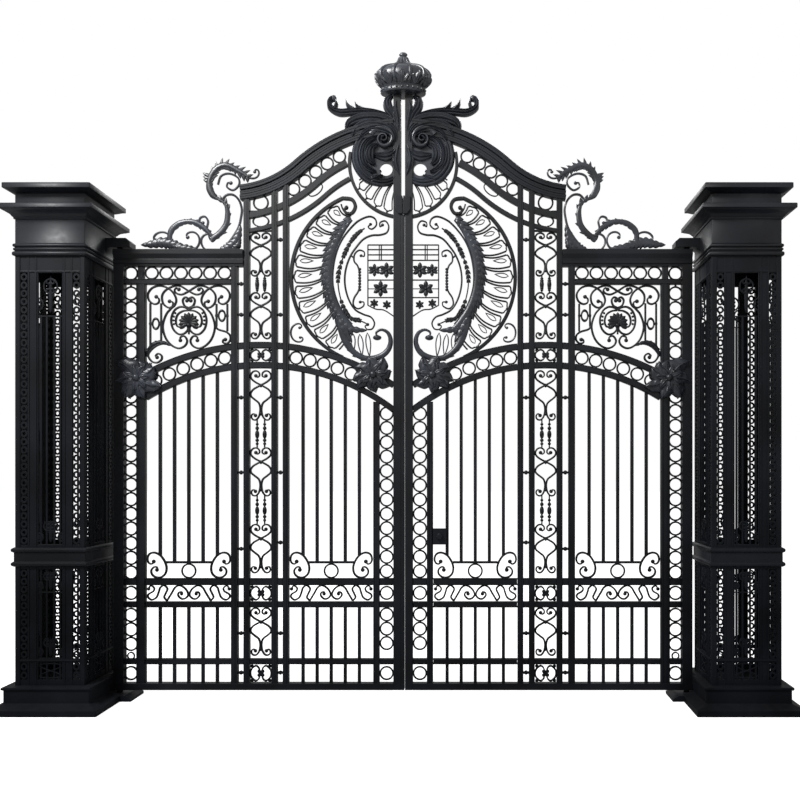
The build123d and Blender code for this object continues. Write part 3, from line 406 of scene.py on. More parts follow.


# satin paint over forged iron: colour drifts between two near-blacks with a slow noise, dust lies on
# upward faces and low down, two noises roughen the surface, and the reflection fades towards the ground as
# painted shade
def ironPaint(name):
    deep, pale, hammer, grain, patch, satin, mirror = paintLook[name]
    paint = bpy.data.materials.new(name)
    paint.use_nodes = True
    tree = paint.node_tree
    place = tree.nodes.new("ShaderNodeTexCoord").outputs["Object"]
    facing = tree.nodes.new("ShaderNodeNewGeometry").outputs["Normal"]
    upward = addNode(tree, "SeparateXYZ", {"Vector": facing}).outputs["Z"]
    height = addNode(tree, "SeparateXYZ", {"Vector": place}).outputs["Z"]
    drift = addNode(tree, "TexNoise", {"Vector": place, "Scale": patch, "Detail": 5}).outputs["Fac"]
    speckle = addNode(tree, "TexNoise", {"Vector": place, "Scale": 24, "Detail": 6}).outputs["Fac"]
    dents = addNode(tree, "TexNoise", {"Vector": place, "Scale": grain, "Detail": 3}).outputs["Fac"]
    tones = addNode(tree, "ValToRGB", {"Fac": drift})
    for stop, position, colour in zip(tones.color_ramp.elements, (0.35, 0.68), (deep, pale)):
        stop.position = position
        stop.color = (*colour, 1)
    settled = addNode(tree, "MapRange", {"Value": upward, "From Min": 0.55, "From Max": 1, "To Max": 0.32})
    splash = addNode(tree, "MapRange", {"Value": height, "From Min": 0.55, "From Max": 0, "To Max": 0.16})
    both = addNode(tree, "Math", {0: settled.outputs[0], 1: splash.outputs[0]}, "ADD")
    broken = addNode(tree, "Math", {0: both.outputs[0], 1: speckle}, "MULTIPLY")
    dusted = tree.nodes.new("ShaderNodeMix")
    dusted.data_type = "RGBA"
    feed(tree, dusted, {"Factor": broken.outputs[0], "A": tones.outputs["Color"],
                        "B": (*paintLook["dust"], 1)})
    # painted shade: the reflection falls with height towards the ground, so the lower parts read darker
    paintedShadeReflection = addNode(tree, "MapRange", {"Value": height, "From Max": paintLook["topAt"],
                                        "To Min": mirror * paintLook["paintedShadeAtGround"], "To Max": mirror})
    sheen = addNode(tree, "MapRange", {"Value": speckle, "To Min": satin[0], "To Max": satin[1]})
    relief = addNode(tree, "Bump", {"Height": dents, "Strength": hammer, "Distance": 0.0012})
    feed(tree, tree.nodes["Principled BSDF"], {
        "Base Color": dusted.outputs["Result"], "Metallic": 0, "Roughness": sheen.outputs[0],
        "Specular IOR Level": paintedShadeReflection.outputs[0], "Normal": relief.outputs[0]})
    return paint


# four copies of one iron paint, partly painted light: the cast ornament lighter as if lit, the post plates
# darker as if shaded
barPaint = ironPaint("satinIronBars")
mouldPaint = ironPaint("satinIronMouldings")
castPaint = ironPaint("satinCastOrnament")
postPaint = ironPaint("satinPostPlates")

# CAD nodes that stay: size of the eased edge, and the paint
easedNodes = {
    "hanging_stile": (3, barPaint), "meeting_stile": (3, barPaint), "bottom_rail": (2.5, barPaint),
    "side_cornice": (3, mouldPaint), "catch_box": (3, mouldPaint), "post_plinth": (5, postPaint),
    "post_mid_band": (4, mouldPaint), "pivot_arm": (4, mouldPaint), "pivot_shoe": (3, mouldPaint),
    "lock_box": (2.5, mouldPaint), "astragal": (2.5, barPaint), "fence_stubs": (3, mouldPaint),
}


# paints every CAD node; on those that stay the triangles are merged and the sharp edges eased
def easeNodes():
    for name, node in nodes.items():
        kind = name.removeprefix("left_").removeprefix("right_")
        size, paint = easedNodes.get(kind, (0, barPaint))
        node.data.materials.clear()
        node.data.materials.append(paint)
        if size:
            weld = node.modifiers.new("mergePoints", "WELD")
            weld.merge_threshold = 0.00002
            edge = node.modifiers.new("easedEdges", "BEVEL")
            edge.width = size / 1000
            edge.segments = 2
            edge.limit_method = "ANGLE"
            edge.angle_limit = np.radians(35)
            edge.harden_normals = False


easeNodes()
print("kept CAD nodes painted and eased")


# places that all the leaf's pieces share, in millimetres from the gate's middle and the ground
members = {
    "barWidth": 24, "barDepth": 20, "bars": 5, "railFloor": 109,
    "rails": ((265, 40), (680, 42), (846, 50)),   # height and size
    "crossBar": (987, 20),
    "ringStile": (1877, 1943), "heelGap": (1943, 2030),
    "meetingGap": (70, 172.5), "innerStile": (172.5, 217.5),
    "outerBay": (1252, 1877), "innerBay": (217.5, 833.5),
    "stiles": ((1204, 1252), (1119, 1161), (916.5, 958.5), (833.5, 875.5)),   # the pilaster's uprights
    "gaps": ((1161, 1204), (958.5, 1119), (875.5, 916.5)),   # between them
    "archCentre": (1040, 819), "archRadii": (1606, 1752), "archRail": 47,
    "sideRail": (3012, 3052), "corniceBottom": 3143,
}
m = members


# height of an arch over u: centre height + sqrt(radius^2 - distance^2)
def archHeight(u, radius):
    centre = m["archCentre"]
    return centre[1] + np.sqrt(radius ** 2 - (u - centre[0]) ** 2)


# an arched rail between two distances along the gate, with a lip along each edge
def archRail(u0, u1, radius, depth=44):
    centre, size = m["archCentre"], m["archRail"]
    first, last = (np.degrees(np.arccos((u - centre[0]) / radius)) for u in (u0, u1))
    count = max(int(abs(last - first) * 0.8), 6)
    lips = [carried(arcPath(centre, radius + shift, first, last, count), 8, depth, 6, 0.5)
            for shift in (4 - size / 2, size / 2 - 4)]
    return joined([carried(arcPath(centre, radius, first, last, count), size, depth * 0.86, 8, 0.14)] + lips)


# a straight rail with a lip along its top and bottom edges
def lippedRail(u0, u1, z, size, depth=44):
    lips = [bar(u0, edge, u1, edge, 8, depth, 6, 0.5) for edge in (z - size / 2 + 4, z + size / 2 - 4)]
    return joined([block(u0, u1, z - size / 2, z + size / 2, depth * 0.86)] + lips)


heelRings = {
    "diameter": 107.5, "wire": 13.5, "column": 1986.5,
    "chains": ((912, 107, 13), (2518, 107.5, 5)),   # first ring, pitch, how many
    "single": (763, 602, 497, 391, 178, 3094),
    "eye": (304, 60, 11),   # the small ring: height, diameter, wire
}
meetingRings = {
    "diameter": 105, "wire": 13, "column": 121.25,
    "chains": ((922, 104.5, 12),),
    "single": (763, 606, 502, 397, 178),
    "archU": 195,   # where the inner stile ends on the arch
}


# touching rings over one another, ring k at first + k * pitch, with a bead on each joint of a chain
def ringColumn(look):
    heights = [first + pitch * np.arange(count) for first, pitch, count in look["chains"]]
    heights = np.concatenate(heights + [np.array(look["single"])])
    shapes = [hoops([(look["column"], z) for z in heights], look["diameter"], look["wire"])]
    for first, pitch, count in look["chains"]:
        joints = first + pitch * (np.arange(count + 1) - 0.5)
        shapes.append(bead(9.5, 19, [(look["column"], 0, z) for z in joints], 8, 5))
    return joined(shapes)


# the upright beside a ring column has a stepped face: a flat, a raised edge and a bevelled one
def ringStile(u0, u1, low, high):
    return joined([block(u0, u1, low, high, 40), bar(u0 + 9, low, u0 + 9, high, 18, 54, 8, 0.4),
                   bar(u1 - 6, low, u1 - 6, high, 12, 48, 6, 0.5)])


heelColumn = [ringColumn(heelRings), ringStile(*m["ringStile"], m["railFloor"], m["sideRail"][0])]
heelColumn += [lippedRail(*m["heelGap"], z, size) for z, size in m["rails"]]
eyeHeight, eyeSize, eyeWire = heelRings["eye"]
heelColumn.append(hoops([(heelRings["column"], eyeHeight)], eyeSize, eyeWire, 17, 24, 6))
onLeaves("hanging_rings", joined(heelColumn), ["hanging_ring_column"], barPaint)
archTop = archHeight(meetingRings["archU"], m["archRadii"][0] - m["archRail"] / 2)
meetingColumn = [ringColumn(meetingRings), ringStile(*m["innerStile"], m["railFloor"], archTop)]
meetingColumn += [lippedRail(*m["meetingGap"], z, size) for z, size in m["rails"]]
onLeaves("meeting_rings", joined(meetingColumn), ["meeting_ring_column"], barPaint)
print("ring columns made")


# lines of the bays' scrolls, traced as shares of the half bay
bayLook = {
    "ring": 103, "wire": 13, "rings": 6, "crossReach": 0.53,
    "outerRings": (1303, 101), "innerRings": (782, -100.5),   # u of the first and the step
    # frieze, heights as shares of its own: a big central curl, then a bar that wanders to the upright
    "friezeCurl": [(0.51, 0.04), (0.40, 0.51), (0.32, 0.85), (0.21, 0.97), (0.08, 0.77), (0.015, 0.43),
                   (0.075, 0.2), (0.17, 0.16), (0.25, 0.37), (0.23, 0.55), (0.165, 0.57), (0.17, 0.46)],
    "friezeWave": [(0.51, 0.04), (0.575, 0.25), (0.545, 0.47), (0.50, 0.77), (0.585, 0.98), (0.67, 0.83),
                   (0.70, 0.6), (0.755, 0.25), (0.865, 0.1), (0.95, 0.25), (0.94, 0.44), (0.83, 0.62),
                   (0.81, 0.82), (0.89, 0.96), (0.94, 0.76)],
    # the C at the foot of the bars, heights over the rail
    "footCurl": [(0.82, 121), (0.86, 104), (0.93, 110), (0.965, 136), (0.94, 168), (0.87, 184), (0.77, 184),
                 (0.655, 163), (0.56, 120), (0.52, 75), (0.55, 32), (0.65, 7), (0.77, 7), (0.86, 28),
                 (0.875, 58), (0.81, 81), (0.74, 78), (0.745, 60)],
}


# a bay: rails, uprights that end on the arch, a cross bar over a ring between C-scrolls, the frieze,
# and two arched rails with rings between, ring k at u = first + k * step on the arc halfway
def bay(edges, archEdges, ringStart, ringStep):
    low, high = edges
    centre, half = (low + high) / 2, (high - low) / 2
    rails, (lower, upper) = m["rails"], m["archRadii"]
    crossHeight, crossSize = m["crossBar"]
    shapes = [lippedRail(low, high, z, size) for z, size in rails]
    for place in range(m["bars"]):
        u = low + (high - low) / (m["bars"] + 1) * (place + 1)
        # the outermost bars stand on the scrolls
        start = crossHeight + (48 if place in (0, m["bars"] - 1) else 0)
        spans = ((start, archHeight(u, lower)), (m["railFloor"], rails[0][0]), (rails[0][0], rails[1][0]))
        shapes += [bar(u, z0, u, z1, m["barWidth"], m["barDepth"], 8, 0.3) for z0, z1 in spans]
    floor = rails[2][0] + rails[2][1] / 2
    room = crossHeight - crossSize / 2 - floor
    reach = half * bayLook["crossReach"]
    shapes += [bar(centre - reach, crossHeight, centre + reach, crossHeight, 17, 24, 8, 0.3),
               hoops([(centre, floor + room / 2)], room + 6, 13, 17, 32)]
    foot, head = rails[1][0] + rails[1][1] / 2, rails[2][0] - rails[2][1] / 2
    path = through(np.array(bayLook["footCurl"]) * (half, 1) + (centre, floor), 6)
    scrolls = [scroll(path, 16, 18, 2, 1.5, 0.7)]
    for name in ("friezeCurl", "friezeWave"):
        path = through(np.array(bayLook[name]) * (half, head - foot) + (centre, foot), 6)
        scrolls.append(scroll(path, 14, 17, 1, 1.5, 0.75))
    shapes += [pairAbout(joined(scrolls), centre), archRail(*archEdges, lower), archRail(*archEdges, upper)]
    ringU = ringStart + ringStep * np.arange(bayLook["rings"])
    centres = np.stack([ringU, archHeight(ringU, (lower + upper) / 2)], -1)
    return joined(shapes + [hoops(centres, bayLook["ring"], bayLook["wire"])])


innerArch = (m["meetingGap"][0], m["innerBay"][1])
outerGrille = bay(m["outerBay"], m["outerBay"], *bayLook["outerRings"])
innerGrille = bay(m["innerBay"], innerArch, *bayLook["innerRings"])
onLeaves("outer_bay_grille", outerGrille, ["outer_bay"], barPaint)
onLeaves("inner_bay_grille", innerGrille, ["inner_bay"], barPaint)
print("bays made")


crestLook = {
    "centreZ": 3034, "radius": 1180, "turnU": 790, "ogeeRadius": 700,
    "from": 70, "to": 1185,
    "fillets": ((0, 40, 90), (40, 72, 66), (72, 108, 76)),   # upper edge, lower edge and depth
    "rails": ((225, 45), (335, 30)),   # the rails under the crest: how far below, and size
    "rings": (466, 800, 155, 5, 101),   # between them: first and last u, how far below, how many, diameter
    "oval": (640, 3703, 60, 32, -39),   # centre, half length, half width, lean
    "circle": (3894, 403), "circleBar": 24,   # height and radius of the big circle
    "gadroons": (-78, -22, 5), "gadroonReach": (168, 342),
}


# the ogee as a path: a convex arc to the turn, then a concave arc, both set in by an offset
def ogee(u0, u1, offset, count=60):
    c = crestLook
    cosTurn = c["turnU"] / c["radius"]
    reach = c["radius"] + c["ogeeRadius"]
    u = np.linspace(u0, u1, count)
    inner, outer = c["radius"] - offset, c["ogeeRadius"] + offset
    convex = c["centreZ"] + np.sqrt(np.maximum(inner ** 2 - u ** 2, 0))
    fall = np.sqrt(np.maximum(outer ** 2 - (u - reach * cosTurn) ** 2, 0))
    concave = c["centreZ"] + reach * np.sqrt(1 - cosTurn ** 2) - fall
    return np.stack([u, np.where(u < inner * cosTurn, convex, concave)], -1)


fillets = []
for top, foot, depth in crestLook["fillets"]:
    for below, size, thick, power in (((top + foot) / 2, foot - top, depth * 0.9, 0.2),
                                      (top * 0.65 + foot * 0.35, (foot - top) * 0.55, depth, 0.75)):
        fillets.append(carried(ogee(crestLook["from"], crestLook["to"], below), size, thick, 8, power))
onLeaves("crest_moulding", joined(fillets), ["crest_rail"], mouldPaint)
circleZ, circleRadius = crestLook["circle"]


# the two rails under the crest, each kept only where it is outside the circle
def crestRails(u0, u1):
    rails = []
    for below, size in crestLook["rails"]:
        path = ogee(u0, u1, below, 40)
        path = path[np.hypot(path[:, 0], path[:, 1] - circleZ) > circleRadius - 14]
        rails.append(carried(path, size, 40, 8, 0.16))
    return rails


# rings evenly spaced along the ogee from beside the circle to the stile
def crestRings():
    first, last, below, count, diameter = crestLook["rings"]
    line = ogee(first, last, below, 120)
    walked = np.concatenate([[0], np.cumsum(np.linalg.norm(np.diff(line, axis=0), axis=1))])
    stops = np.linspace(0, walked[-1], count)
    return hoops(np.stack([np.interp(stops, walked, line[:, k]) for k in (0, 1)], -1), diameter, 13)


# a thin oval leaning down the slope: long * cos and wide * sin of the angle, turned by the lean
def leaningOval():
    u, z, long, wide, lean = crestLook["oval"]
    turn = np.linspace(0, 2 * np.pi, 28, endpoint=False)
    c, s = np.cos(np.radians(lean)), np.sin(np.radians(lean))
    oval = np.stack([long * np.cos(turn), wide * np.sin(turn)], -1) @ np.array([(c, s), (-s, c)]) + (u, z)
    return carried(oval, 9, 12, 8, 0.7, closed=True)


# gadroons inside the foot of the circle, fanned from the acanthus to the bar
def circleGadroons():
    fan = np.linspace(*crestLook["gadroons"])
    near, far = crestLook["gadroonReach"]
    roots, tips = polar((0, circleZ), near, fan + 4), polar((0, circleZ), far, fan)
    return gadroons(roots, tips, 12, 20, 9.5, 14, False, 26)


lowAngle = np.degrees(np.arccos(crestLook["from"] / circleRadius))
circleArc = arcPath((0, circleZ), circleRadius - crestLook["circleBar"] / 2, -lowAngle, 12, 50)
crestPanel = crestRails(crestLook["from"], m["innerBay"][1] + 12)
crestPanel += [crestRings(), leaningOval(), carried(circleArc, crestLook["circleBar"], 40, 8, 0.3),
               circleGadroons()]
onLeaves("crest_panel_work", joined(crestPanel), ["crest_panel"], barPaint)
print("crest made")


# the pilaster: four uprights, collars and a strip of scrollwork
pilasterLook = {
    "outerCollars": (182, 469, 1085, 1642, 2189, 2793, 3018),
    "innerCollars": (182, 469, 1131, 1642, 2189, 2793, 3340),
    # main motifs, rods and cells: foot and head of each
    "motifs": ((2023, 2390), (1470, 1828), (909, 1269), (307, 659), (2617, 2960), (3075, 3395)),
    "rods": ((1828, 2023), (1269, 1470), (2960, 3075)),
    "cells": ((109, 245), (701, 821)),
    "rings": ((3475, 128, 0.68), (3610, 118, 1)),   # height, diameter and how tall for its width
    "crossBars": (3405, 3545),
    # one side of the main motif, traced as shares of the half strip and of its height: a curl at the foot,
    # the neck, the bulb, then over the middle into the heart and its curl
    "motifLine": [(0.50, 0.095), (0.62, 0.125), (0.80, 0.115), (0.86, 0.06), (0.70, 0.012), (0.42, 0.012),
                  (0.18, 0.075), (0.07, 0.17), (0.07, 0.26), (0.20, 0.345), (0.58, 0.415), (0.88, 0.475),
                  (0.92, 0.54), (0.70, 0.61), (0.30, 0.665), (-0.10, 0.71), (-0.55, 0.765), (-0.87, 0.83),
                  (-0.92, 0.90), (-0.72, 0.965), (-0.42, 0.98), (-0.17, 0.945), (-0.13, 0.885),
                  (-0.32, 0.855), (-0.46, 0.885)],
    # one side of the low figure: a C that turns its ends in
    "cellLine": [(0.16, 0.60), (0.13, 0.70), (0.24, 0.83), (0.46, 0.90), (0.74, 0.80), (0.93, 0.62),
                 (0.93, 0.38), (0.74, 0.20), (0.46, 0.10), (0.24, 0.17), (0.13, 0.30), (0.16, 0.40)],
    # beads on a rod: share of its height, radius, length
    "beads": ((0.12, 12, 22), (0.25, 14, 26), (0.47, 16, 66), (0.70, 14, 30), (0.85, 12, 20)),
}
pl = pilasterLook
stripLow, stripHigh = m["gaps"][1]
middle, room = (stripLow + stripHigh) / 2, stripHigh - stripLow


# the main motif between two heights: a mirrored pair of scrolls with two beads between
def motif(z0, z1):
    line = through(np.array(pl["motifLine"]) * (room / 2, z1 - z0) + (middle, z0), 6)
    spots = [(middle, 0, z0 + (z1 - z0) * share) for share in (0.13, 0.69)]
    return joined([pairAbout(scroll(line, 14.5, 18, 2, 1.5, 0.7), middle), bead(11, 30, spots, 8, 5)])


# the low figure: a mirrored pair of Cs with a leaf point in each corner, tied at the middle
def cellFigure(z0, z1):
    h = z1 - z0
    parts = [scroll(through(np.array(pl["cellLine"]) * (room / 2, h) + (middle, z0), 5), 14, 18, 2, 1.6, 0.7)]
    for share, foot in ((0.06, 0.2), (0.94, 0.8)):
        spine = [(middle + room * 0.47, z0 + h * share), (middle + room * 0.30, z0 + h * foot)]
        parts.append(leaf(spine, 26, 14, 1, 0, 0, 0, 0.4, 0.7, 8))
    tie = bar(middle - 14, z0 + h / 2, middle + 14, z0 + h / 2, 12, 18)
    return joined([pairAbout(joined(parts), middle), tie])


# two rods with beads and collars along them, in a stretch of the strip
def beadedRods(z0, z1, spread=0.17):
    parts = []
    for u in (middle - room * spread, middle + room * spread):
        parts.append(bar(u, z0 - 6, u, z1 + 6, 10, 12))
        parts += [bead(radius, height, (u, 0, z0 + (z1 - z0) * share), 10, 7)
                  for share, radius, height in pl["beads"]]
    return joined(parts)


pilaster = []
tops = [m["corniceBottom"]] + [ogee(u0, u0 + 1, 100, 2)[0, 1] for u0, u1 in m["stiles"][1:]]
for (u0, u1), top in zip(m["stiles"], tops):
    pilaster += [block(u0, u1, m["railFloor"], top, 50),
                 bar((u0 + u1) / 2, m["railFloor"], (u0 + u1) / 2, top, (u1 - u0) * 0.45, 60, 8, 0.5)]
pilaster += [lippedRail(*gap, z, size) for gap in m["gaps"] for z, size in m["rails"]]
pilaster += [archRail(m["gaps"][2][0], m["gaps"][0][1], radius) for radius in m["archRadii"]]
for u0, u1 in m["gaps"][1:]:
    pilaster += crestRails(u0 - 8, u1 + 8)
for heights, (u0, u1) in ((pl["outerCollars"], m["gaps"][0]), (pl["innerCollars"], m["gaps"][2])):
    pilaster += [bar(u0 - 2, z, u1 + 2, z, 18, 26, 8, 0.6) for z in heights]
    pilaster.append(bead(15, 32, [((u0 + u1) / 2, 0, z) for z in heights], 14, 9))
archCell = [archHeight(middle, radius) + shift for radius, shift in zip(m["archRadii"], (24, -24))]
pilaster += [motif(*ends) for ends in pl["motifs"]] + [beadedRods(*ends) for ends in pl["rods"]]
pilaster += [cellFigure(*ends) for ends in (*pl["cells"], archCell)]
pilaster += [hoops([(middle, z)], size, 14, stretch=tall) for z, size, tall in pl["rings"]]
pilaster += [bar(stripLow, z, stripHigh, z, 14, 22) for z in pl["crossBars"]]
onLeaves("pilaster_work", joined(pilaster), ["pilaster"], barPaint)
print("pilasters made")


# side panel: lines traced, each point from the middle of the panel and in height
side = {
    "middle": 1564.5, "bar": 15.5, "depth": 18, "railU": (1252, 2030),
    # lines that are mirrored, and the ends that curl: 2 both, 1 the last, -1 the first
    "paired": (("cornerC", -1), ("lyre", 1), ("inner", 2), ("heart", 1), ("outerLoop", 1), ("innerLoop", 0)),
    "row": (1304, 106.2, 6, 3097.5),   # rings over the panel: first u, pitch, how many, height
    "cornerC": [(-238, 2924), (-218, 2908), (-222, 2880), (-254, 2871), (-289, 2896), (-298, 2944),
                (-267, 2988), (-214, 3004), (-161, 2991), (-115, 2955), (-92, 2905), (-102, 2865),
                (-128, 2840)],
    "lyre": [(-128, 2840), (-166, 2793), (-190, 2710), (-171, 2627), (-128, 2572), (-75, 2548), (-29, 2566),
             (-12, 2603), (-32, 2636), (-60, 2630), (-62, 2606)],
    "inner": [(-141, 2891), (-116, 2882), (-122, 2852), (-153, 2846), (-188, 2877), (-195, 2931),
              (-168, 2972), (-115, 3000), (-62, 3002), (0, 2965), (50, 2941), (88, 2948), (104, 2970),
              (90, 2988), (73, 2978)],
    "heart": [(0, 2842), (-32, 2860), (-44, 2898), (-26, 2920), (-4, 2910), (-14, 2896)],
    "outerLoop": [(0, 2828), (-29, 2846), (-69, 2849), (-108, 2820), (-129, 2758), (-116, 2692),
                  (-76, 2652), (-34, 2656), (-6, 2688), (-20, 2722), (-46, 2720), (-56, 2702)],
    "innerLoop": [(-2, 2824), (-42, 2820), (-81, 2794), (-95, 2748), (-84, 2710), (-56, 2702)],
    "lowCurl": [(-193, 2712), (-214, 2686), (-270, 2668), (-300, 2643), (-302, 2608), (-279, 2584),
                (-250, 2590), (-252, 2610), (-266, 2612)],
    "leafyCurl": [(120, 2568), (177, 2582), (230, 2570), (274, 2537), (297, 2496), (270, 2452), (230, 2444),
                  (199, 2467), (199, 2494), (223, 2509), (242, 2494), (232, 2482)],
    "leafBack": [(130, 2566), (193, 2590), (250, 2580), (291, 2541), (300, 2496)],
    "ovals": ((-241, 2786), (241, 2727)),
    # across, foot and head
    "rods": ((-281, 2672, 2872), (-202, 2708, 2872), (202, 2590, 2876), (281, 2552, 2876)),
    "palmette": (-112, -88, -64, -42, -20, 0, 20, 42, 64, 88, 112),   # the leaves' turns from upright
}
cu = side["middle"]


# one of the lines as a smooth path, moved to the middle of the panel
def sideLine(name):
    return through(np.array(side[name], float) + (cu, 0), 7)


# the same line as a flat bar whose ends curl to a ball
def sideBar(name, eyes=1, width=side["bar"]):
    return scroll(sideLine(name), width, side["depth"], eyes, 1.5, 0.75)


# direction at a turn from upright, as (sin, cos)
def fromUpright(turn):
    return np.array([np.sin(np.radians(turn)), np.cos(np.radians(turn))])


first, pitch, count, rowHeight = side["row"]
sidePanel = [lippedRail(*side["railU"], sum(m["sideRail"]) / 2, 40),
             hoops([(first + pitch * k, rowHeight) for k in range(count)], 105, 13.5, stretch=0.94),
             bar(1910, 3040, 1910, 3146, 44, 40)]
sidePanel += [pairAbout(sideBar(name, eyes), cu) for name, eyes in side["paired"]]
for u, z in polar((cu - 8, 2752), 105, [150, 165, 180, 195]):
    sidePanel.append(pairAbout(bead(9, 18, (u, 0, z), 8, 5), cu))
leafBack = sideLine("leafBack")
sidePanel += [sideBar("lowCurl"), sideBar("leafyCurl", 1, 15), leaf(leafBack, 34, 22, 6, 0.3, 0.6, 3),
              fringe(leafBack, 8, 34, 22, 1, 40, 0.15, 0.95, 16)]
sidePanel += [bar(cu + across, foot, cu + across, head, 14, 15) for across, foot, head in side["rods"]]
sidePanel.append(hoops([(cu + across, z) for across, z in side["ovals"]], 60, 13, 15, 24, 6, 1.6))
for across, z in side["ovals"]:
    sidePanel += [bar(cu + across * inner, z, cu + across * outer, z, 16, 18)
                  for inner, outer in ((0.80, 0.92), (1.08, 1.20))]
# leaves fanned from the foot of the roundel, the outer ones turning down
root = np.array([cu, 2728])
for turn in side["palmette"]:
    reach = 76 - abs(turn) * 0.06
    knee = root + fromUpright(turn) * reach * 0.6
    tip = knee + fromUpright(turn * 1.22) * reach * 0.5
    sidePanel.append(leaf([root, knee, tip], 34, 20, 2, 0.12, 0.2, 2, 0.62))
sidePanel += [bead(20, 34, (cu, 2, 2716), 12, 7), bar(cu, 2650, cu, 2716, 12, 16),
              bar(cu, 2848, cu, 2826, 12, 16)]
onLeaves("side_panel_work", joined(sidePanel), ["side_panel"], barPaint)
print("side panels made")


# the rosette's big curves; lines traced in u and z
rosetteLook = {
    "hoop": ((182, 3062), 635), "hoopBar": (27, 27, 27, 27, 27, 26, 22, 15), "hoopBall": (414, 0, 3574),
    "hoopCurl": [(374, 3632), (349, 3583), (372, 3536), (412, 3533), (430, 3558), (414, 3574)],
    "crescent": ((0, 3083), 548), "crescentBand": (14, 40, 58, 64, 66, 66, 64, 62, 66, 56),
    "petals": 11, "lineBar": 12.5,
    "rootRadius": 574, "rootSpan": (48, -44), "tipRadius": 598, "tipSpan": (62, -60),
    # inner bars: one closes the crescent, one encloses the shield, one curls beside it
    "closing": [(239, 3453), (256, 3432), (228, 3418), (196, 3449), (206, 3492), (251, 3509), (323, 3480),
                (384, 3424), (446, 3342), (487, 3249), (510, 3142), (515, 3040), (502, 2937), (466, 2840),
                (415, 2763), (378, 2706)],
    "enclosing": [(152, 3448), (170, 3436), (168, 3466), (130, 3476), (106, 3439), (120, 3393), (169, 3375),
                  (230, 3371), (292, 3343), (343, 3285), (384, 3224), (415, 3142), (427, 3060), (420, 2978),
                  (394, 2896), (351, 2830), (292, 2796), (236, 2775), (210, 2732), (226, 2691), (262, 2686),
                  (278, 2708), (260, 2722)],
    "bracket": [(308, 3224), (286, 3220), (286, 3251), (323, 3263), (355, 3234), (358, 3183), (333, 3150),
                (319, 3096), (317, 3019), (327, 2966), (358, 2915), (364, 2867), (333, 2837), (292, 2855),
                (288, 2884), (314, 2886)],
    "garland": [(282, 3424), (333, 3386), (384, 3324), (425, 3244), (456, 3162), (474, 3080), (474, 2999),
                (456, 2906), (425, 2824), (382, 2768), (328, 2754), (271, 2730)],
    "sprigs": ((2, 21, 9), (22, 34, 5), (42, 62, 9)),   # stretches of the garland, and leaves on each side
}


# the outer hoop, an arc that ends in a curl, with gadroons fanned between two circles
def hoopWithPetals():
    r = rosetteLook
    centre, radius = r["hoop"]
    curl = through([polar(centre, radius, [66])[0], *r["hoopCurl"]], 7)
    path = np.vstack([arcPath(centre, radius, -66, 65, 56), curl])
    count = r["petals"] + 1
    roots = polar(r["crescent"][0], r["rootRadius"], np.linspace(*r["rootSpan"], count))
    tips = polar(centre, r["tipRadius"], np.linspace(*r["tipSpan"], count))
    return joined([carried(path, widths(path, r["hoopBar"]), 34, 8, 0.45), bead(15, 34, r["hoopBall"], 10, 7),
                   gadroons(roots, tips, -18, 27, r["lineBar"])])


# the leafy crescent: a thick arc with three fringes, and a thin arc inside
def leafyCrescent():
    centre, radius = rosetteLook["crescent"]
    line = arcPath(centre, radius, 47, -47, 50)
    return joined([carried(line, widths(line, rosetteLook["crescentBand"]), 26, 12, 0.8),
                   fringe(line + (line - centre) * 0.035, 23, 78, 42, 1, 42, 0.01, 0.98, 22),
                   fringe(line + (line - centre) * 0.01, 21, 70, 36, 1, 22, 0.02, 0.98, 38),
                   fringe(line, 19, 52, 28, -1, 14, 0.05, 0.98, 34),
                   carried(arcPath(centre, 516, 50, -44, 50), 9, 20, 6, 0.6)])


# the three inner bars, the garland with its sprigs, and a row of beads beside the shield
def innerBars():
    garland = through(rosetteLook["garland"], 6)
    parts = [scroll(through(rosetteLook[name], 6), width, depth, eyes, 1.4) for name, width, depth, eyes in
             (("closing", 13.5, 18, -1), ("enclosing", 14, 19, 2), ("bracket", 13, 18, 2))]
    parts.append(carried(garland, 10, 14, 6, 0.6))
    for first, last, count in rosetteLook["sprigs"]:
        parts += [fringe(garland[first:last], count, 40, 24, edge, 32, 0.04, 0.96, 20) for edge in (-1, 1)]
    parts.append(bead(12.5, 23, [(318, 0, z) for z in np.linspace(2975, 3125, 8)], 8, 5))
    return joined(parts + [bar(386, 3228, 357, 3205, 12, 16)])


onLeaves("rosette_hoop_petals", hoopWithPetals(), ["rosette"], barPaint)
onLeaves("rosette_crescent", leafyCrescent(), [], castPaint)
onLeaves("rosette_inner_bars", innerBars(), [], barPaint)

shieldLook = {
    "inner": 70, "outer": 258, "bottom": 2838, "top": 3302, "bar": 8.5,
    "crossBars": (3302, 3268, 3230, 3190, 3046), "foot": [(258, 2862), (200, 2834), (140, 2826), (70, 2782)],
    "footBar": 2918, "thinBars": (3118, 2982),
    # u, z and size
    "rosettes": ((122, 3118, 58), (210, 3118, 48), (165, 2982, 60), (120, 2866, 34), (212, 2876, 34)),
}


# plain barred shield: bars across, two uprights at its head, and small six-leaved rosettes
def shieldParts():
    s = shieldLook
    inner, outer, size = s["inner"], s["outer"], s["bar"]
    parts = [bar(inner, z, outer, z, size, 14) for z in s["crossBars"]]
    parts += [bar(outer, s["bottom"] + 24, outer, s["top"], size, 14),
              bar(160, 3190, 160, s["top"], size, 14), bar(175, 3190, 175, s["top"], 7, 14),
              carried(through(s["foot"]), 9, 14, 6, 0.5),
              bar(inner, s["footBar"], outer, s["footBar"], size, 14)]
    for u, z, reach in s["rosettes"]:
        parts += [leaf([(u, z), tip], reach * 0.56, 14, 1, 0, 0.2, 2, 0.62, 0.7, 8)
                  for tip in polar((u, z), reach, np.arange(6) * 60 + 30)]
        parts.append(bead(reach * 0.2, 20, (u, 3, z), 8, 5))
    return parts + [bar(inner, z, outer, z, 6, 10) for z in s["thinBars"]]


onLeaves("rosette_shield", joined(shieldParts()), [], barPaint)

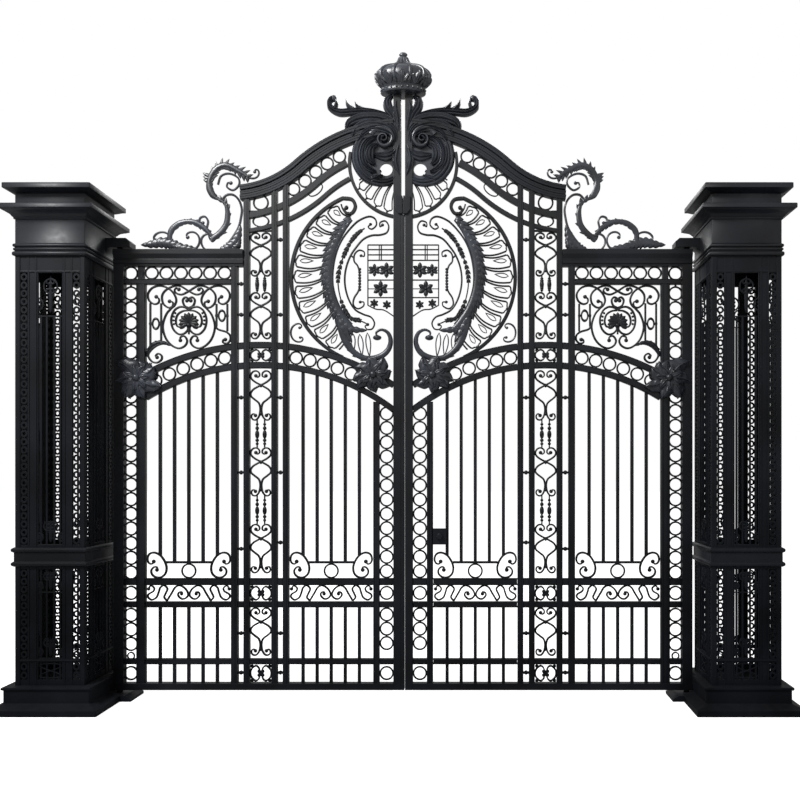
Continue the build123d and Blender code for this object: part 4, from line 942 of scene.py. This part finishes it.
voluteLook = {
    "ball": (190, 0, 2626), "ballRadius": 32,
    "line": [(190, 2626), (196, 2664), (158, 2684), (114, 2664), (92, 2610), (104, 2548), (148, 2500),
             (220, 2474), (292, 2479), (353, 2514), (404, 2570), (436, 2640), (458, 2712), (470, 2775)],
    "band": (12, 17, 22, 28, 34, 40, 44, 44, 42, 44, 52, 58, 54, 30),
    "branches": (([(462, 2740), (420, 2704), (350, 2684), (262, 2678)], 56, 30),   # line, width, depth
                 ([(476, 2800), (452, 2735), (420, 2660), (372, 2590)], 74, 40)),
    "drops": (((300, 2490), (318, 2650), 36), ((246, 2484), (262, 2660), 34), ((360, 2530), (372, 2660), 32)),
    "corner": (820, 2662),
}


# lower volute: a thick leafy band curling in to a ball, leafy branches above it, drops inside, and a
# scroll in the corner beside the stile
def lowerVolute():
    v = voluteLook
    line = through(v["line"], 6)
    corner = twoWay(v["corner"], 90, [(90, 44, 96), (30, 10, 190)], [(90, 44, -110), (32, 10, -200)], 4)
    parts = [carried(line, widths(line, v["band"]), 30, 10, 0.9), bead(v["ballRadius"], 40, v["ball"], 14, 7),
             fringe(line[20:], 14, 48, 28, 1, 36, 0.05, 0.95, 20),
             fringe(line[40:], 8, 56, 30, -1, 34, 0.05, 0.9, 22)]
    parts += [leaf(through(points), width, depth, 5, 0.35) for points, width, depth in v["branches"]]
    parts += [petalLoop(start, end, width, 9, 14) for start, end, width in v["drops"]]
    return joined(parts + [scroll(corner, 14, 18)])


onLeaves("rosette_volute", lowerVolute(), [], castPaint)
print("rosette made")


# side crest on the cornice; lines traced
sideCrestLook = {
    "stem": [(1400, 3330), (1384, 3354), (1336, 3391), (1293, 3451), (1281, 3524), (1289, 3580), (1310, 3612),
             (1352, 3637), (1388, 3664), (1411, 3712), (1416, 3762), (1402, 3806), (1376, 3846), (1342, 3874),
             (1300, 3884), (1258, 3874), (1216, 3850), (1172, 3826), (1130, 3796)],
    "stemBand": (28, 42, 46, 44, 40, 30, 17, 20, 48, 54, 40, 40, 46, 42, 44, 38, 40, 34, 18),
    "arch": [(1700, 3300), (1706, 3352), (1690, 3412), (1640, 3456), (1584, 3472), (1524, 3468),
             (1470, 3440), (1432, 3408), (1396, 3364)],
    "archBand": (18, 34, 44, 42, 36, 38, 40, 36, 22),
    "archCurl": [(1432, 3430), (1424, 3476), (1446, 3508), (1480, 3500), (1484, 3470), (1462, 3464)],
    "upperCurl": [(1352, 3742), (1328, 3806), (1266, 3822), (1204, 3790), (1198, 3742), (1240, 3702),
                  (1284, 3722), (1280, 3754), (1258, 3754)],
    "tendril": [(1293, 3296), (1248, 3352), (1203, 3427), (1184, 3500), (1178, 3566), (1198, 3628),
                (1238, 3666), (1284, 3668), (1314, 3640), (1312, 3606), (1286, 3594)],
    # leaves lying on the cornice: line, width and lobes
    "leaves": (([(1590, 3272), (1660, 3300), (1760, 3318), (1850, 3306), (1916, 3302)], 88, 9),
               ([(1500, 3268), (1580, 3276), (1660, 3290), (1730, 3318)], 66, 6),
               ([(1340, 3270), (1280, 3284), (1226, 3330), (1200, 3400), (1186, 3450)], 84, 7),
               ([(1260, 3268), (1210, 3300), (1190, 3350)], 60, 4)),
}


# a leafy stem and a leafy arch, each a band with fringes, then scrolls, leaves and the foot bar
def sideCrest():
    s = sideCrestLook
    stem, arch = through(s["stem"], 8), through(s["arch"], 8)
    upper = len(stem) // 2
    bends = (bentPath((1698, 3364), 52, [(90, 62, -100), (50, 14, -170)], 5),
             twoWay((1486, 3336), 90, [(66, 50, -120), (34, 12, -130)], [(80, 60, 100)], 5),
             twoWay((1474, 3330), 90, [(56, 44, 110), (30, 12, 130)], [(80, 64, -100)], 5),
             through(s["upperCurl"], 6))
    tipCurl = bentPath((1124, 3792), 200, [(80, 34, -120), (26, 11, -190)], 4)
    parts = [carried(stem, widths(stem, s["stemBand"]), 22, 10, 0.8),
             fringe(stem[: upper - 10], 9, 56, 32, 1, 44, 0.03, 0.97, 16),
             fringe(stem[upper:], 13, 66, 34, 1, 50, 0.03, 0.98, 18),
             fringe(stem[upper:], 9, 70, 26, -1, 56, 0.30, 0.98, 16),
             fringe(stem[upper + 8: upper + 16], 3, 74, 36, -1, 84, 0.1, 0.9, 16),
             carried(arch, widths(arch, s["archBand"]), 22, 10, 0.8),
             fringe(arch, 11, 54, 30, 1, 40, 0.10, 0.95, 16), fringe(arch, 7, 44, 24, -1, 50, 0.45, 0.98, 14),
             scroll(through(s["archCurl"], 6), 15, 20, 1, 1.4)]
    parts += [scroll(path, 15, 18, 1, 1.5) for path in bends]
    parts += [scroll(tipCurl, 13, 16, 1, 1.5), scroll(through(s["tendril"], 7), 17, 19, 1)]
    parts += [leaf(through(line), size, 30, lobes) for line, size, lobes in s["leaves"]]
    return joined(parts + [bar(1190, 3268, 1700, 3268, 12, 26)])


onLeaves("side_crest_scrolls", sideCrest(), ["side_crest"], castPaint)
print("side crest made")


# acanthus over the crest; lines traced in u and z
acanthus = {
    "eye": (141, 4066), "ball": (141, 10, 4066), "tipBall": (508, 0, 4370),
    "coil": (11, 0.155, 2.25, 110, 0.56, 74),   # first radius, growth, turns, first turn, band, relief
    "web": ((124, 3850), 47,
            (215, 255, 330, 390, 372, 330, 220, 120, 100, 112, 112, 108, 118, 150, 190, 215), 26),
    "room": ((16, -59, 3710), (552, 59, 4396)),   # the corners it stays within
    # sweeping lobes: line, widths along it, how far it stands forward, flutes
    "lobes": (
        ([(49, 4160), (97, 4226), (168, 4258), (271, 4275), (374, 4272), (458, 4266), (518, 4292),
          (538, 4330), (524, 4366), (506, 4374)], (26, 44, 46, 52, 60, 60, 52, 46, 40, 30), 0, 3),
        ([(38, 4063), (47, 4142), (104, 4204), (199, 4230), (302, 4226), (389, 4190), (413, 4130)],
         (40, 66, 78, 84, 80, 66, 24), 4, 3),
        ([(51, 4039), (61, 4110), (112, 4161), (199, 4183), (286, 4172), (350, 4132), (367, 4080)],
         (34, 56, 70, 78, 74, 58, 20), 12, 3),
        ([(77, 4019), (77, 4087), (124, 4126), (199, 4141), (271, 4117), (322, 4062)],
         (30, 44, 54, 56, 50, 18), 18, 3),
        ([(184, 4124), (247, 4110), (302, 4063), (330, 3988), (328, 3897), (289, 3823), (225, 3774),
          (144, 3757), (76, 3774), (32, 3824)], (34, 62, 78, 86, 88, 84, 78, 66, 56, 26), 4, 3),
        ([(192, 4083), (245, 4063), (283, 4016), (296, 3956), (285, 3893), (247, 3850), (196, 3830)],
         (28, 52, 70, 80, 76, 58, 20), 12, 4),
        ([(186, 4030), (226, 4006), (243, 3960), (236, 3915), (206, 3884)], (26, 54, 78, 66, 22), 16, 3),
        ([(30, 4010), (73, 3962), (132, 3944), (205, 3952)], (36, 66, 80, 40), 6, 3),
        ([(30, 4030), (47, 3960), (53, 3905), (44, 3857), (24, 3800)], (40, 54, 56, 44, 24), 12, 2),
        ([(239, 3772), (188, 3788), (146, 3806)], (40, 36, 10), 14, 2),
        ([(44, 4150), (70, 4240), (108, 4300), (112, 4352), (80, 4388)], (28, 60, 72, 62, 26), 4, 3),
        ([(30, 4120), (40, 4220), (54, 4290), (44, 4352)], (26, 40, 44, 16), 10, 2),
        ([(290, 4284), (332, 4310), (352, 4342)], (44, 30, 6), 0, 1),
        ([(354, 4280), (400, 4316), (418, 4364)], (46, 34, 6), 0, 1),
        ([(500, 4286), (486, 4334), (498, 4366)], (34, 28, 8), 6, 1),
    ),
}


# volute: radius = inner * e^(growth * angle), the band's width a share of its radius, its front
# standing further out towards the eye
def voluteBand(eye, inner, growth, turns, firstTurn, share, relief, ahead=14):
    angle = np.linspace(0, turns * 2 * np.pi, int(turns * 40))
    reach = inner * np.exp(growth * angle)
    turn = np.radians(firstTurn) - angle
    path = np.stack([eye[0] + reach * np.cos(turn), eye[1] + reach * np.sin(turn)], -1)
    left = 1 - angle / angle[-1]
    size = np.maximum(reach * share, 8)
    return carried(path, size, relief * (0.85 + 0.15 * left), 12, 0.85, ahead + 10 * left)


# fluted lobe: across it the front stands at sqrt(1 - 0.92 s^2) * (1 - f + f |cos(n pi s / 2)|), the back
# is the same turned over, and along it the relief grows as sin of the way to a small power
def flutedLobe(line, sizes, relief, flutes=3, ahead=0, columns=15):
    path = through(line, 6)
    s = np.linspace(-1, 1, columns)
    height = np.sqrt(1 - 0.92 * s ** 2) * (0.48 + 0.52 * np.abs(np.cos(np.pi * flutes * s / 2)))
    across = np.concatenate([s, s[-2:0:-1]])
    front = np.concatenate([height, -height[-2:0:-1]])
    way = np.linspace(0.01, 0.99, len(path))[:, None]
    grow = relief / 2 * (0.4 + 0.6 * np.sin(np.pi * way) ** 0.45)
    half = widths(path, sizes)[:, None] / 2
    return gridShape(beside(path, headingsOf(path), half * across, ahead + grow * front))


# a plate round an opening: its outer edge is a reach given at even turns about the opening
def web(centre, opening, reaches, depth):
    turn = np.linspace(0, 2 * np.pi, 97)[:-1]
    reach = np.interp(turn, np.linspace(0, 2 * np.pi, len(reaches)), reaches)
    inside = np.full(96, opening)
    radius = np.stack([inside, reach, reach, inside], -1)
    rise = np.broadcast_to(np.array([1, 1, -1, -1]) * depth / 2, radius.shape)
    return gridShape(np.stack([centre[0] + radius * np.cos(turn)[:, None], rise,
                               centre[1] + radius * np.sin(turn)[:, None]], -1), True)


acanthusParts = [voluteBand(acanthus["eye"], *acanthus["coil"]), bead(16, 60, acanthus["ball"], 12, 7)]
for line, sizes, ahead, flutes in acanthus["lobes"]:
    acanthusParts += [flutedLobe(line, sizes, 78, flutes, ahead),
                      flutedLobe(line, np.array(sizes) * 0.9, 60, flutes, -ahead)]
acanthusParts += [bead(24, 50, acanthus["tipBall"], 14, 9), web(*acanthus["web"])]
verts, *faces = joined(acanthusParts)
onLeaves("acanthus_plume", (np.clip(verts, *acanthus["room"]), *faces), ["acanthus_crest"], castPaint, 55)
print("acanthus made")


# crown: heights from its base, radii from its axis
crownLook = {
    "base": 4397, "ribs": 10, "ribBar": 20, "pearls": 24, "flatten": 0.55,
    "band": [(148, 0), (162, 3), (166, 9), (160, 15), (157, 20), (157, 38), (161, 43), (166, 49),
             (160, 55), (146, 58)],
    "dome": [(146, 52), (163, 72), (182, 98), (192, 126), (190, 152), (174, 174), (148, 190), (112, 202),
             (72, 212), (46, 226), (33, 246), (24, 268)],
    "knob": [(16, 262), (27, 270), (20, 277), (29, 285), (31, 295), (22, 305), (6, 311)],
    # leaves standing on the band: line, widths, relief
    "leaves": (([(0, 54), (0, 86), (0, 120), (0, 142)], (34, 44, 30, 6), 40),
               ([(6, 60), (26, 84), (38, 104), (36, 118)], (22, 26, 20, 6), 30),
               ([(-6, 60), (-26, 84), (-38, 104), (-36, 118)], (22, 26, 20, 6), 30)),
    "bud": ([(0, 54), (0, 72), (0, 90)], (22, 30, 8), 34),
}


# dome whose radius swells between its ribs: r = profile * (1 - a + a |sin(n angle / 2)|^0.7)
def ribbedDome(profile, ribs, swell=0.05, sides=64):
    profile = through(profile, 3)
    turn = 2 * np.pi * np.arange(sides)[None, :] / sides
    reach = profile[:, :1] * (1 - swell + swell * np.abs(np.sin(ribs / 2 * turn)) ** 0.7)
    return gridShape(np.stack([reach * np.cos(turn), reach * np.sin(turn), profile[:, 1:] + 0 * turn], -1))


# a shape turned about the upright axis to each of several angles
def spun(shape, angles):
    u, depth, z = shape[0].T
    turns = [(np.cos(angle), np.sin(angle)) for angle in angles]
    return joined([(np.stack([u * c - depth * s, u * s + depth * c, z], -1), *shape[1:]) for c, s in turns])


# a fluted lobe laid round the dome: its u becomes an angle, and its depth stands on the dome's radius
def crownLeaf(line, sizes, relief):
    shape = flutedLobe(line, sizes, relief, 3, 0, 11)
    u, depth, z = shape[0].T
    dome = through(crownLook["dome"], 4)
    reach = np.interp(z, dome[:, 1], dome[:, 0]) + 9 + depth
    return np.stack([reach * np.cos(u / 180), reach * np.sin(u / 180), z], -1), *shape[1:]


# band, ribbed dome, ribs, leaves, pearls and knob at even turns, flattened front to back:
# depth = flatten * depth
def crown():
    c = crownLook
    turns = 2 * np.pi * np.arange(c["ribs"]) / c["ribs"]
    pearls = 2 * np.pi * np.arange(c["pearls"]) / c["pearls"]
    rib = carried(through(c["dome"], 4) + (3, 0), c["ribBar"], 22, 8, 0.8)
    leafy = joined([crownLeaf(*look) for look in c["leaves"]])
    verts, *faces = joined([turned(c["band"], sides=48), ribbedDome(c["dome"], c["ribs"]), spun(rib, turns),
                            spun(leafy, turns + np.pi / c["ribs"]), spun(crownLeaf(*c["bud"]), turns),
                            spun(bead(9, 18, (160, 0, 29), 8, 5), pearls), turned(c["knob"], sides=20),
                            block(-70, -14.5, -9, 2, 60)])
    return verts * (1, -c["flatten"], 1) + (gateMiddle, leafY, c["base"]), *faces


makePiece("crown_dome", crown(), "left_leaf", ["crown"], castPaint)
print("crown made")


# centre, block behind it, and leaves as (turn, reach, width)
bossLook = {
    "heel": ((1930, 2330), ((40, 190, 130), (95, 132, 120), (150, 150, 120), (200, 186, 110),
                            (250, 160, 110), (300, 170, 120), (350, 150, 110), (122, 140, 90))),
    "meeting": ((214, 2352), ((20, 150, 110), (70, 140, 110), (120, 150, 100), (165, 130, 100),
                              (215, 140, 90), (265, 128, 100), (320, 150, 110), (345, 160, 90))),
    "heelBlock": (1943, 2030, 2215, 2465, 40), "ahead": 26, "thick": 50,
}


# boss of overlapping acanthus leaves on both faces: long leaves fanned from a centre, each with a
# midrib, then short fluted leaves folded over the heart, and a ball
def leafBoss(centre, leaves):
    ahead, thick = bossLook["ahead"], bossLook["thick"]
    parts = []
    for i, (turn, reach, wide) in enumerate(leaves):
        stops = ((34, turn + 180), (reach * 0.55, turn + 10), (reach, turn))
        line = [polar(centre, far, way) for far, way in stops]
        rib = through(line, 5)
        for face in (-1, 1):
            forward, front = face * (ahead + 3 * (i % 3)), face * (ahead + thick / 2 + 3)
            parts += [leaf(through(line, 8), 1.2 * wide, thick, 4, 0.24, 0.5, forward, 0.55),
                      carried(rib, widths(rib, [14, 12, 5]), 14, 6, 0.9, front)]
    for i, turn in enumerate(np.arange(12, 372, 51.4)):
        line = [polar(centre, far, turn + 6 * k) for k, far in enumerate((16, 62, 104 - 8 * (i % 2)))]
        parts += [flutedLobe(line, [34, 62, 46, 8], 40, 3, face * (ahead + 20), 9) for face in (-1, 1)]
    parts += [bead(30, 60, (centre[0], face * (ahead + 24), centre[1]), 14, 7) for face in (-1, 1)]
    return joined(parts)


heelLeaves = joined([leafBoss(*bossLook["heel"]), block(*bossLook["heelBlock"])])
onLeaves("heel_acanthus", heelLeaves, ["heel_boss"], castPaint, 55)
onLeaves("meeting_acanthus", leafBoss(*bossLook["meeting"]), ["meeting_boss"], castPaint, 55)
print("bosses made")


postLook = {
    "half": 240, "corner": 34, "plate": 16, "bottom": 182, "top": 3130,
    "fret": (34, 86), "inner": (86, 148),   # strips of a face, measured in from its edge
    "ring": 52, "ringWire": 16.5, "ringPitch": 55,
    "zones": ((220, 340), (366, 979), (1147, 3014)),   # stretches with rings
    "plates": ((182, 220), (340, 366), (979, 1147), (3014, 3130)),
    "rods": (26, 66), "rodTop": 2716, "frame": 86,
    "lips": ((3022, 0, 0), (353, 4, 1)),   # bars across: height, extra depth, forward
    "filigree": ((2716, 3014), (1147, 1330), (820, 979), (366, 520)),
    # filigree scrolls: across, height as a share of the panel's, and the bends each way, whose radii
    # are shares of it too
    "scrolls": ((46, 0.70, ((0.18, 0.13, 110), (0.09, 0.035, 200)),
                 ((0.20, 0.14, -100), (0.09, 0.035, -200))),
                (52, 0.28, ((0.16, 0.12, -110), (0.08, 0.035, -190)),
                 ((0.16, 0.12, 110), (0.08, 0.035, 190)))),
    "eights": (76, 280, 50),   # half width, middle height and half height
}


# C-scrolls in a panel, each a path that sets out both ways and curls in, kept inside the panel's edges
def filigree(sign, low, h, ahead):
    shapes = []
    for across, rise, *ways in postLook["scrolls"]:
        forth, back = ([(h * first, h * last, sign * turn) for first, last, turn in bends] for bends in ways)
        path = twoWay((sign * across, low + h * rise), 90, forth, back, 5)
        path = np.clip(path, (-84, low + 4), (84, low + h - 4))
        shapes.append(scroll(path, 12, 12, 2, 1.4, 0.7, ahead, 5))
    return joined(shapes)


# one side of a face: an inner stile with two raised edges, a strip of rings, two rods and a frame
def halfFace(sign):
    p = postLook
    half, plate, bottom, top = p["half"], p["plate"], p["bottom"], p["top"]
    inset = -plate / 2
    near, far = half - p["inner"][1], half - p["inner"][0]
    middle = sign * (near + far) / 2
    parts = [bar(middle, bottom, middle, top, far - near, plate * 0.7, 8, 0.12, inset - 3)]
    for edge in (sign * (near + 6), sign * (far - 6)):
        parts.append(bar(edge, bottom, edge, top, 12, plate, 6, 0.4, inset))
    u = sign * (half - sum(p["fret"]) / 2)
    for low, high in p["zones"]:
        count = int((high - low) / p["ringPitch"])
        pitch = (high - low) / count
        centres = [(u, low + pitch * (k + 0.5)) for k in range(count)]
        parts.append(hoops(centres, p["ring"], p["ringWire"], 10, 12, 4, pitch / p["ring"], inset))
    for rod in p["rods"]:
        parts.append(bar(sign * rod, bottom, sign * rod, p["rodTop"], 13, 12, 6, 0.5, inset - 6))
    edge = sign * p["frame"]
    return parts + [bar(edge, bottom, edge, top, 10, 14, 6, 0.5, inset - 2)]


# one face of the post, laid out flat: across from its middle, height, and depth below the surface
def postFace():
    p = postLook
    reach, plate = p["half"] - p["corner"], p["plate"]
    inset = -plate / 2
    parts = halfFace(-1) + halfFace(1)
    parts += [bar(0, low, 0, high, 2 * reach, plate * 0.8, 8, 0.06, inset - 2) for low, high in p["plates"]]
    for z, more, forward in p["lips"]:
        parts.append(bar(-reach, z, reach, z, 14, plate + more, 6, 0.5, inset + forward))
    for low, high in p["filigree"]:
        h = high - low
        parts += [filigree(sign, low, h, inset - 4) for sign in (-1, 1)]
        spine = [(0, low + h * 0.08), (0, high - h * 0.06)]
        parts += [leaf(spine, 30, 12, 3, 0.25, 0.3, inset - 4, 0.4, 0.6, 8),
                  bar(-92, low, 92, low, 8, 10, 6, 0.5, inset - 4)]
    # a pair of eights in the low panel: across as sin of twice the angle, up as sin of the angle
    t = np.linspace(0, 2 * np.pi, 29)[:-1]
    wide, middle, tall = p["eights"]
    path = np.stack([wide * np.sin(2 * t), middle + tall * np.sin(t)], -1)
    return joined(parts + [carried(path, 8, 10, 6, 0.5, inset - 4, True)])


# a flat face stood on each side of the post: across runs along the side, depth outwards from the reach
def fourSides(flat, reach):
    across, depth, z = flat[0].T
    shapes = []
    for angle in np.arange(4) * np.pi / 2:
        out, c, s = reach + depth, np.cos(angle), np.sin(angle)
        shapes.append((np.stack([across * c + out * s, across * s - out * c, z], -1), *flat[1:]))
    return joined(shapes)


# an upright at each corner of the post, with a thin edge beside it on both faces
def postCorners():
    p = postLook
    thick = p["corner"] / 2
    corners = []
    for sx in (-1, 1):
        for sy in (-1, 1):
            for size, x, y, ease in ((thick, p["half"] - thick, p["half"] - thick, 4),
                                     (2.5, p["half"] - p["corner"], p["half"] - 3, 1),
                                     (2.5, p["half"] - 3, p["half"] - p["corner"], 1)):
                corners.append(squared([(size, p["bottom"]), (size, p["top"])], (sx * x, sy * y), ease))
    return corners


postShaft = joined([fourSides(postFace(), postLook["half"])] + postCorners())
onPosts("post_lattice", postShaft, ["post_shaft"], postPaint)
print("post shafts made")

# mouldings of the post's neck and cap: reach from its axis, and height
headLook = {
    "neck": [(238, 3130), (251, 3130), (255, 3136), (255, 3150), (250, 3157), (243, 3160), (243, 3164),
             (249, 3168), (250, 3175), (249, 3181), (242, 3185), (242, 3188), (251, 3192), (253, 3200),
             (251, 3208), (242, 3214), (240, 3218), (240, 3381)],
    "cap": [(236, 3381), (247, 3381), (249, 3386), (249, 3392), (256, 3397), (262, 3407), (274, 3418),
            (292, 3427), (308, 3434), (311, 3438), (320, 3440), (320, 3467), (317, 3470), (240, 3470),
            (240, 3556), (250, 3558), (262, 3564), (276, 3572), (287, 3578), (300, 3581), (300, 3612),
            (297, 3615), (0.5, 3615)],
}
onPosts("post_neck", squared(headLook["neck"]), ["post_head"], mouldPaint, 50)
onPosts("post_cornice", squared(headLook["cap"]), ["post_cap"], mouldPaint, 50)
print("post heads made")


stageLook = {
    "floorTone": 0.60, "floorGlow": 0.78, "floorHalf": 60, "world": 0.55,
    # lamps: place, aim, power, size
    "keyLamp": ((-2.6, -5.8, 8.7), (2.0, 0, 3.3), 1500, (2.4, 1.6)),
    "fillLamp": ((8.5, -6.5, 4.5), (2.4, 0, 2.0), 60, (4, 4)),
    "rimLamp": ((2.4, 5.5, 7.5), (2.4, 0, 2.5), 260, (6, 2)),
}


# links an object into the scene
def placed(name, data):
    thing = bpy.data.objects.new(name, data)
    bpy.context.scene.collection.objects.link(thing)
    return thing


# pale floor: plain diffuse, with a glow that only the camera sees
def makeFloor():
    mesh = bpy.data.meshes.new("floor")
    size = stageLook["floorHalf"]
    corners = [(-size, -size, 0), (size, -size, 0), (size, size, 0), (-size, size, 0)]
    mesh.from_pydata(corners, [], [(0, 1, 2, 3)])
    pale = bpy.data.materials.new("paleFloor")
    pale.use_nodes = True
    tree = pale.node_tree
    tree.nodes.clear()
    matte = addNode(tree, "BsdfDiffuse", {"Color": (stageLook["floorTone"],) * 3 + (1,)})
    seen = tree.nodes.new("ShaderNodeLightPath").outputs["Is Camera Ray"]
    strength = addNode(tree, "Math", {0: seen, 1: stageLook["floorGlow"]}, "MULTIPLY")
    glow = addNode(tree, "Emission", {"Strength": strength.outputs[0]})
    total = addNode(tree, "AddShader", {0: matte.outputs[0], 1: glow.outputs[0]})
    addNode(tree, "OutputMaterial", {"Surface": total.outputs[0]})
    mesh.materials.append(pale)
    placed("floor", mesh)


# plain world: white where the camera or a reflection sees it, and a lower level as light
def makeSky():
    sky = bpy.data.worlds.new("studio")
    bpy.context.scene.world = sky
    sky.use_nodes = True
    tree = sky.node_tree
    tree.nodes.clear()
    seen = tree.nodes.new("ShaderNodeLightPath").outputs
    direct = addNode(tree, "Math", {0: seen["Is Camera Ray"], 1: seen["Is Glossy Ray"]}, "ADD", True)
    white = addNode(tree, "Math", {0: direct.outputs[0], 1: seen["Is Transmission Ray"]}, "ADD", True)
    level = addNode(tree, "MapRange", {"Value": white.outputs[0], "To Min": stageLook["world"], "To Max": 1})
    light = addNode(tree, "Background", {"Color": (1, 1, 1, 1), "Strength": level.outputs[0]})
    addNode(tree, "OutputWorld", {"Surface": light.outputs[0]})


# an oblong lamp that looks from its place to its aim
def makeLamp(name):
    place, aim, power, size = stageLook[name]
    lamp = bpy.data.lights.new(name, "AREA")
    lamp.shape = "RECTANGLE"
    lamp.size, lamp.size_y = size
    lamp.energy = power
    holder = placed(name, lamp)
    holder.location = place
    way = np.array(aim, float) - np.array(place, float)
    holder.rotation_euler = Vector(way).to_track_quat("-Z", "Y").to_euler()
    holder.visible_camera = False


makeFloor()
makeSky()
for lampName in ("keyLamp", "fillLamp", "rimLamp"):
    makeLamp(lampName)

cameraLook = {"place": (2.95, -6.103, 1.66), "lens": 38.475, "shift": (-0.10, 0.0875)}
lens = bpy.data.cameras.new("camera")
lens.sensor_width = 36
lens.lens = cameraLook["lens"]
lens.shift_x, lens.shift_y = cameraLook["shift"]
lens.clip_end = 400
eye = placed("camera", lens)
eye.location = cameraLook["place"]
eye.rotation_euler = (np.pi / 2, 0, 0)
bpy.context.scene.camera = eye
bpy.context.scene.view_settings.view_transform = "Standard"
print("stage, lamps and camera set;", made["triangles"], "triangles in new pieces")
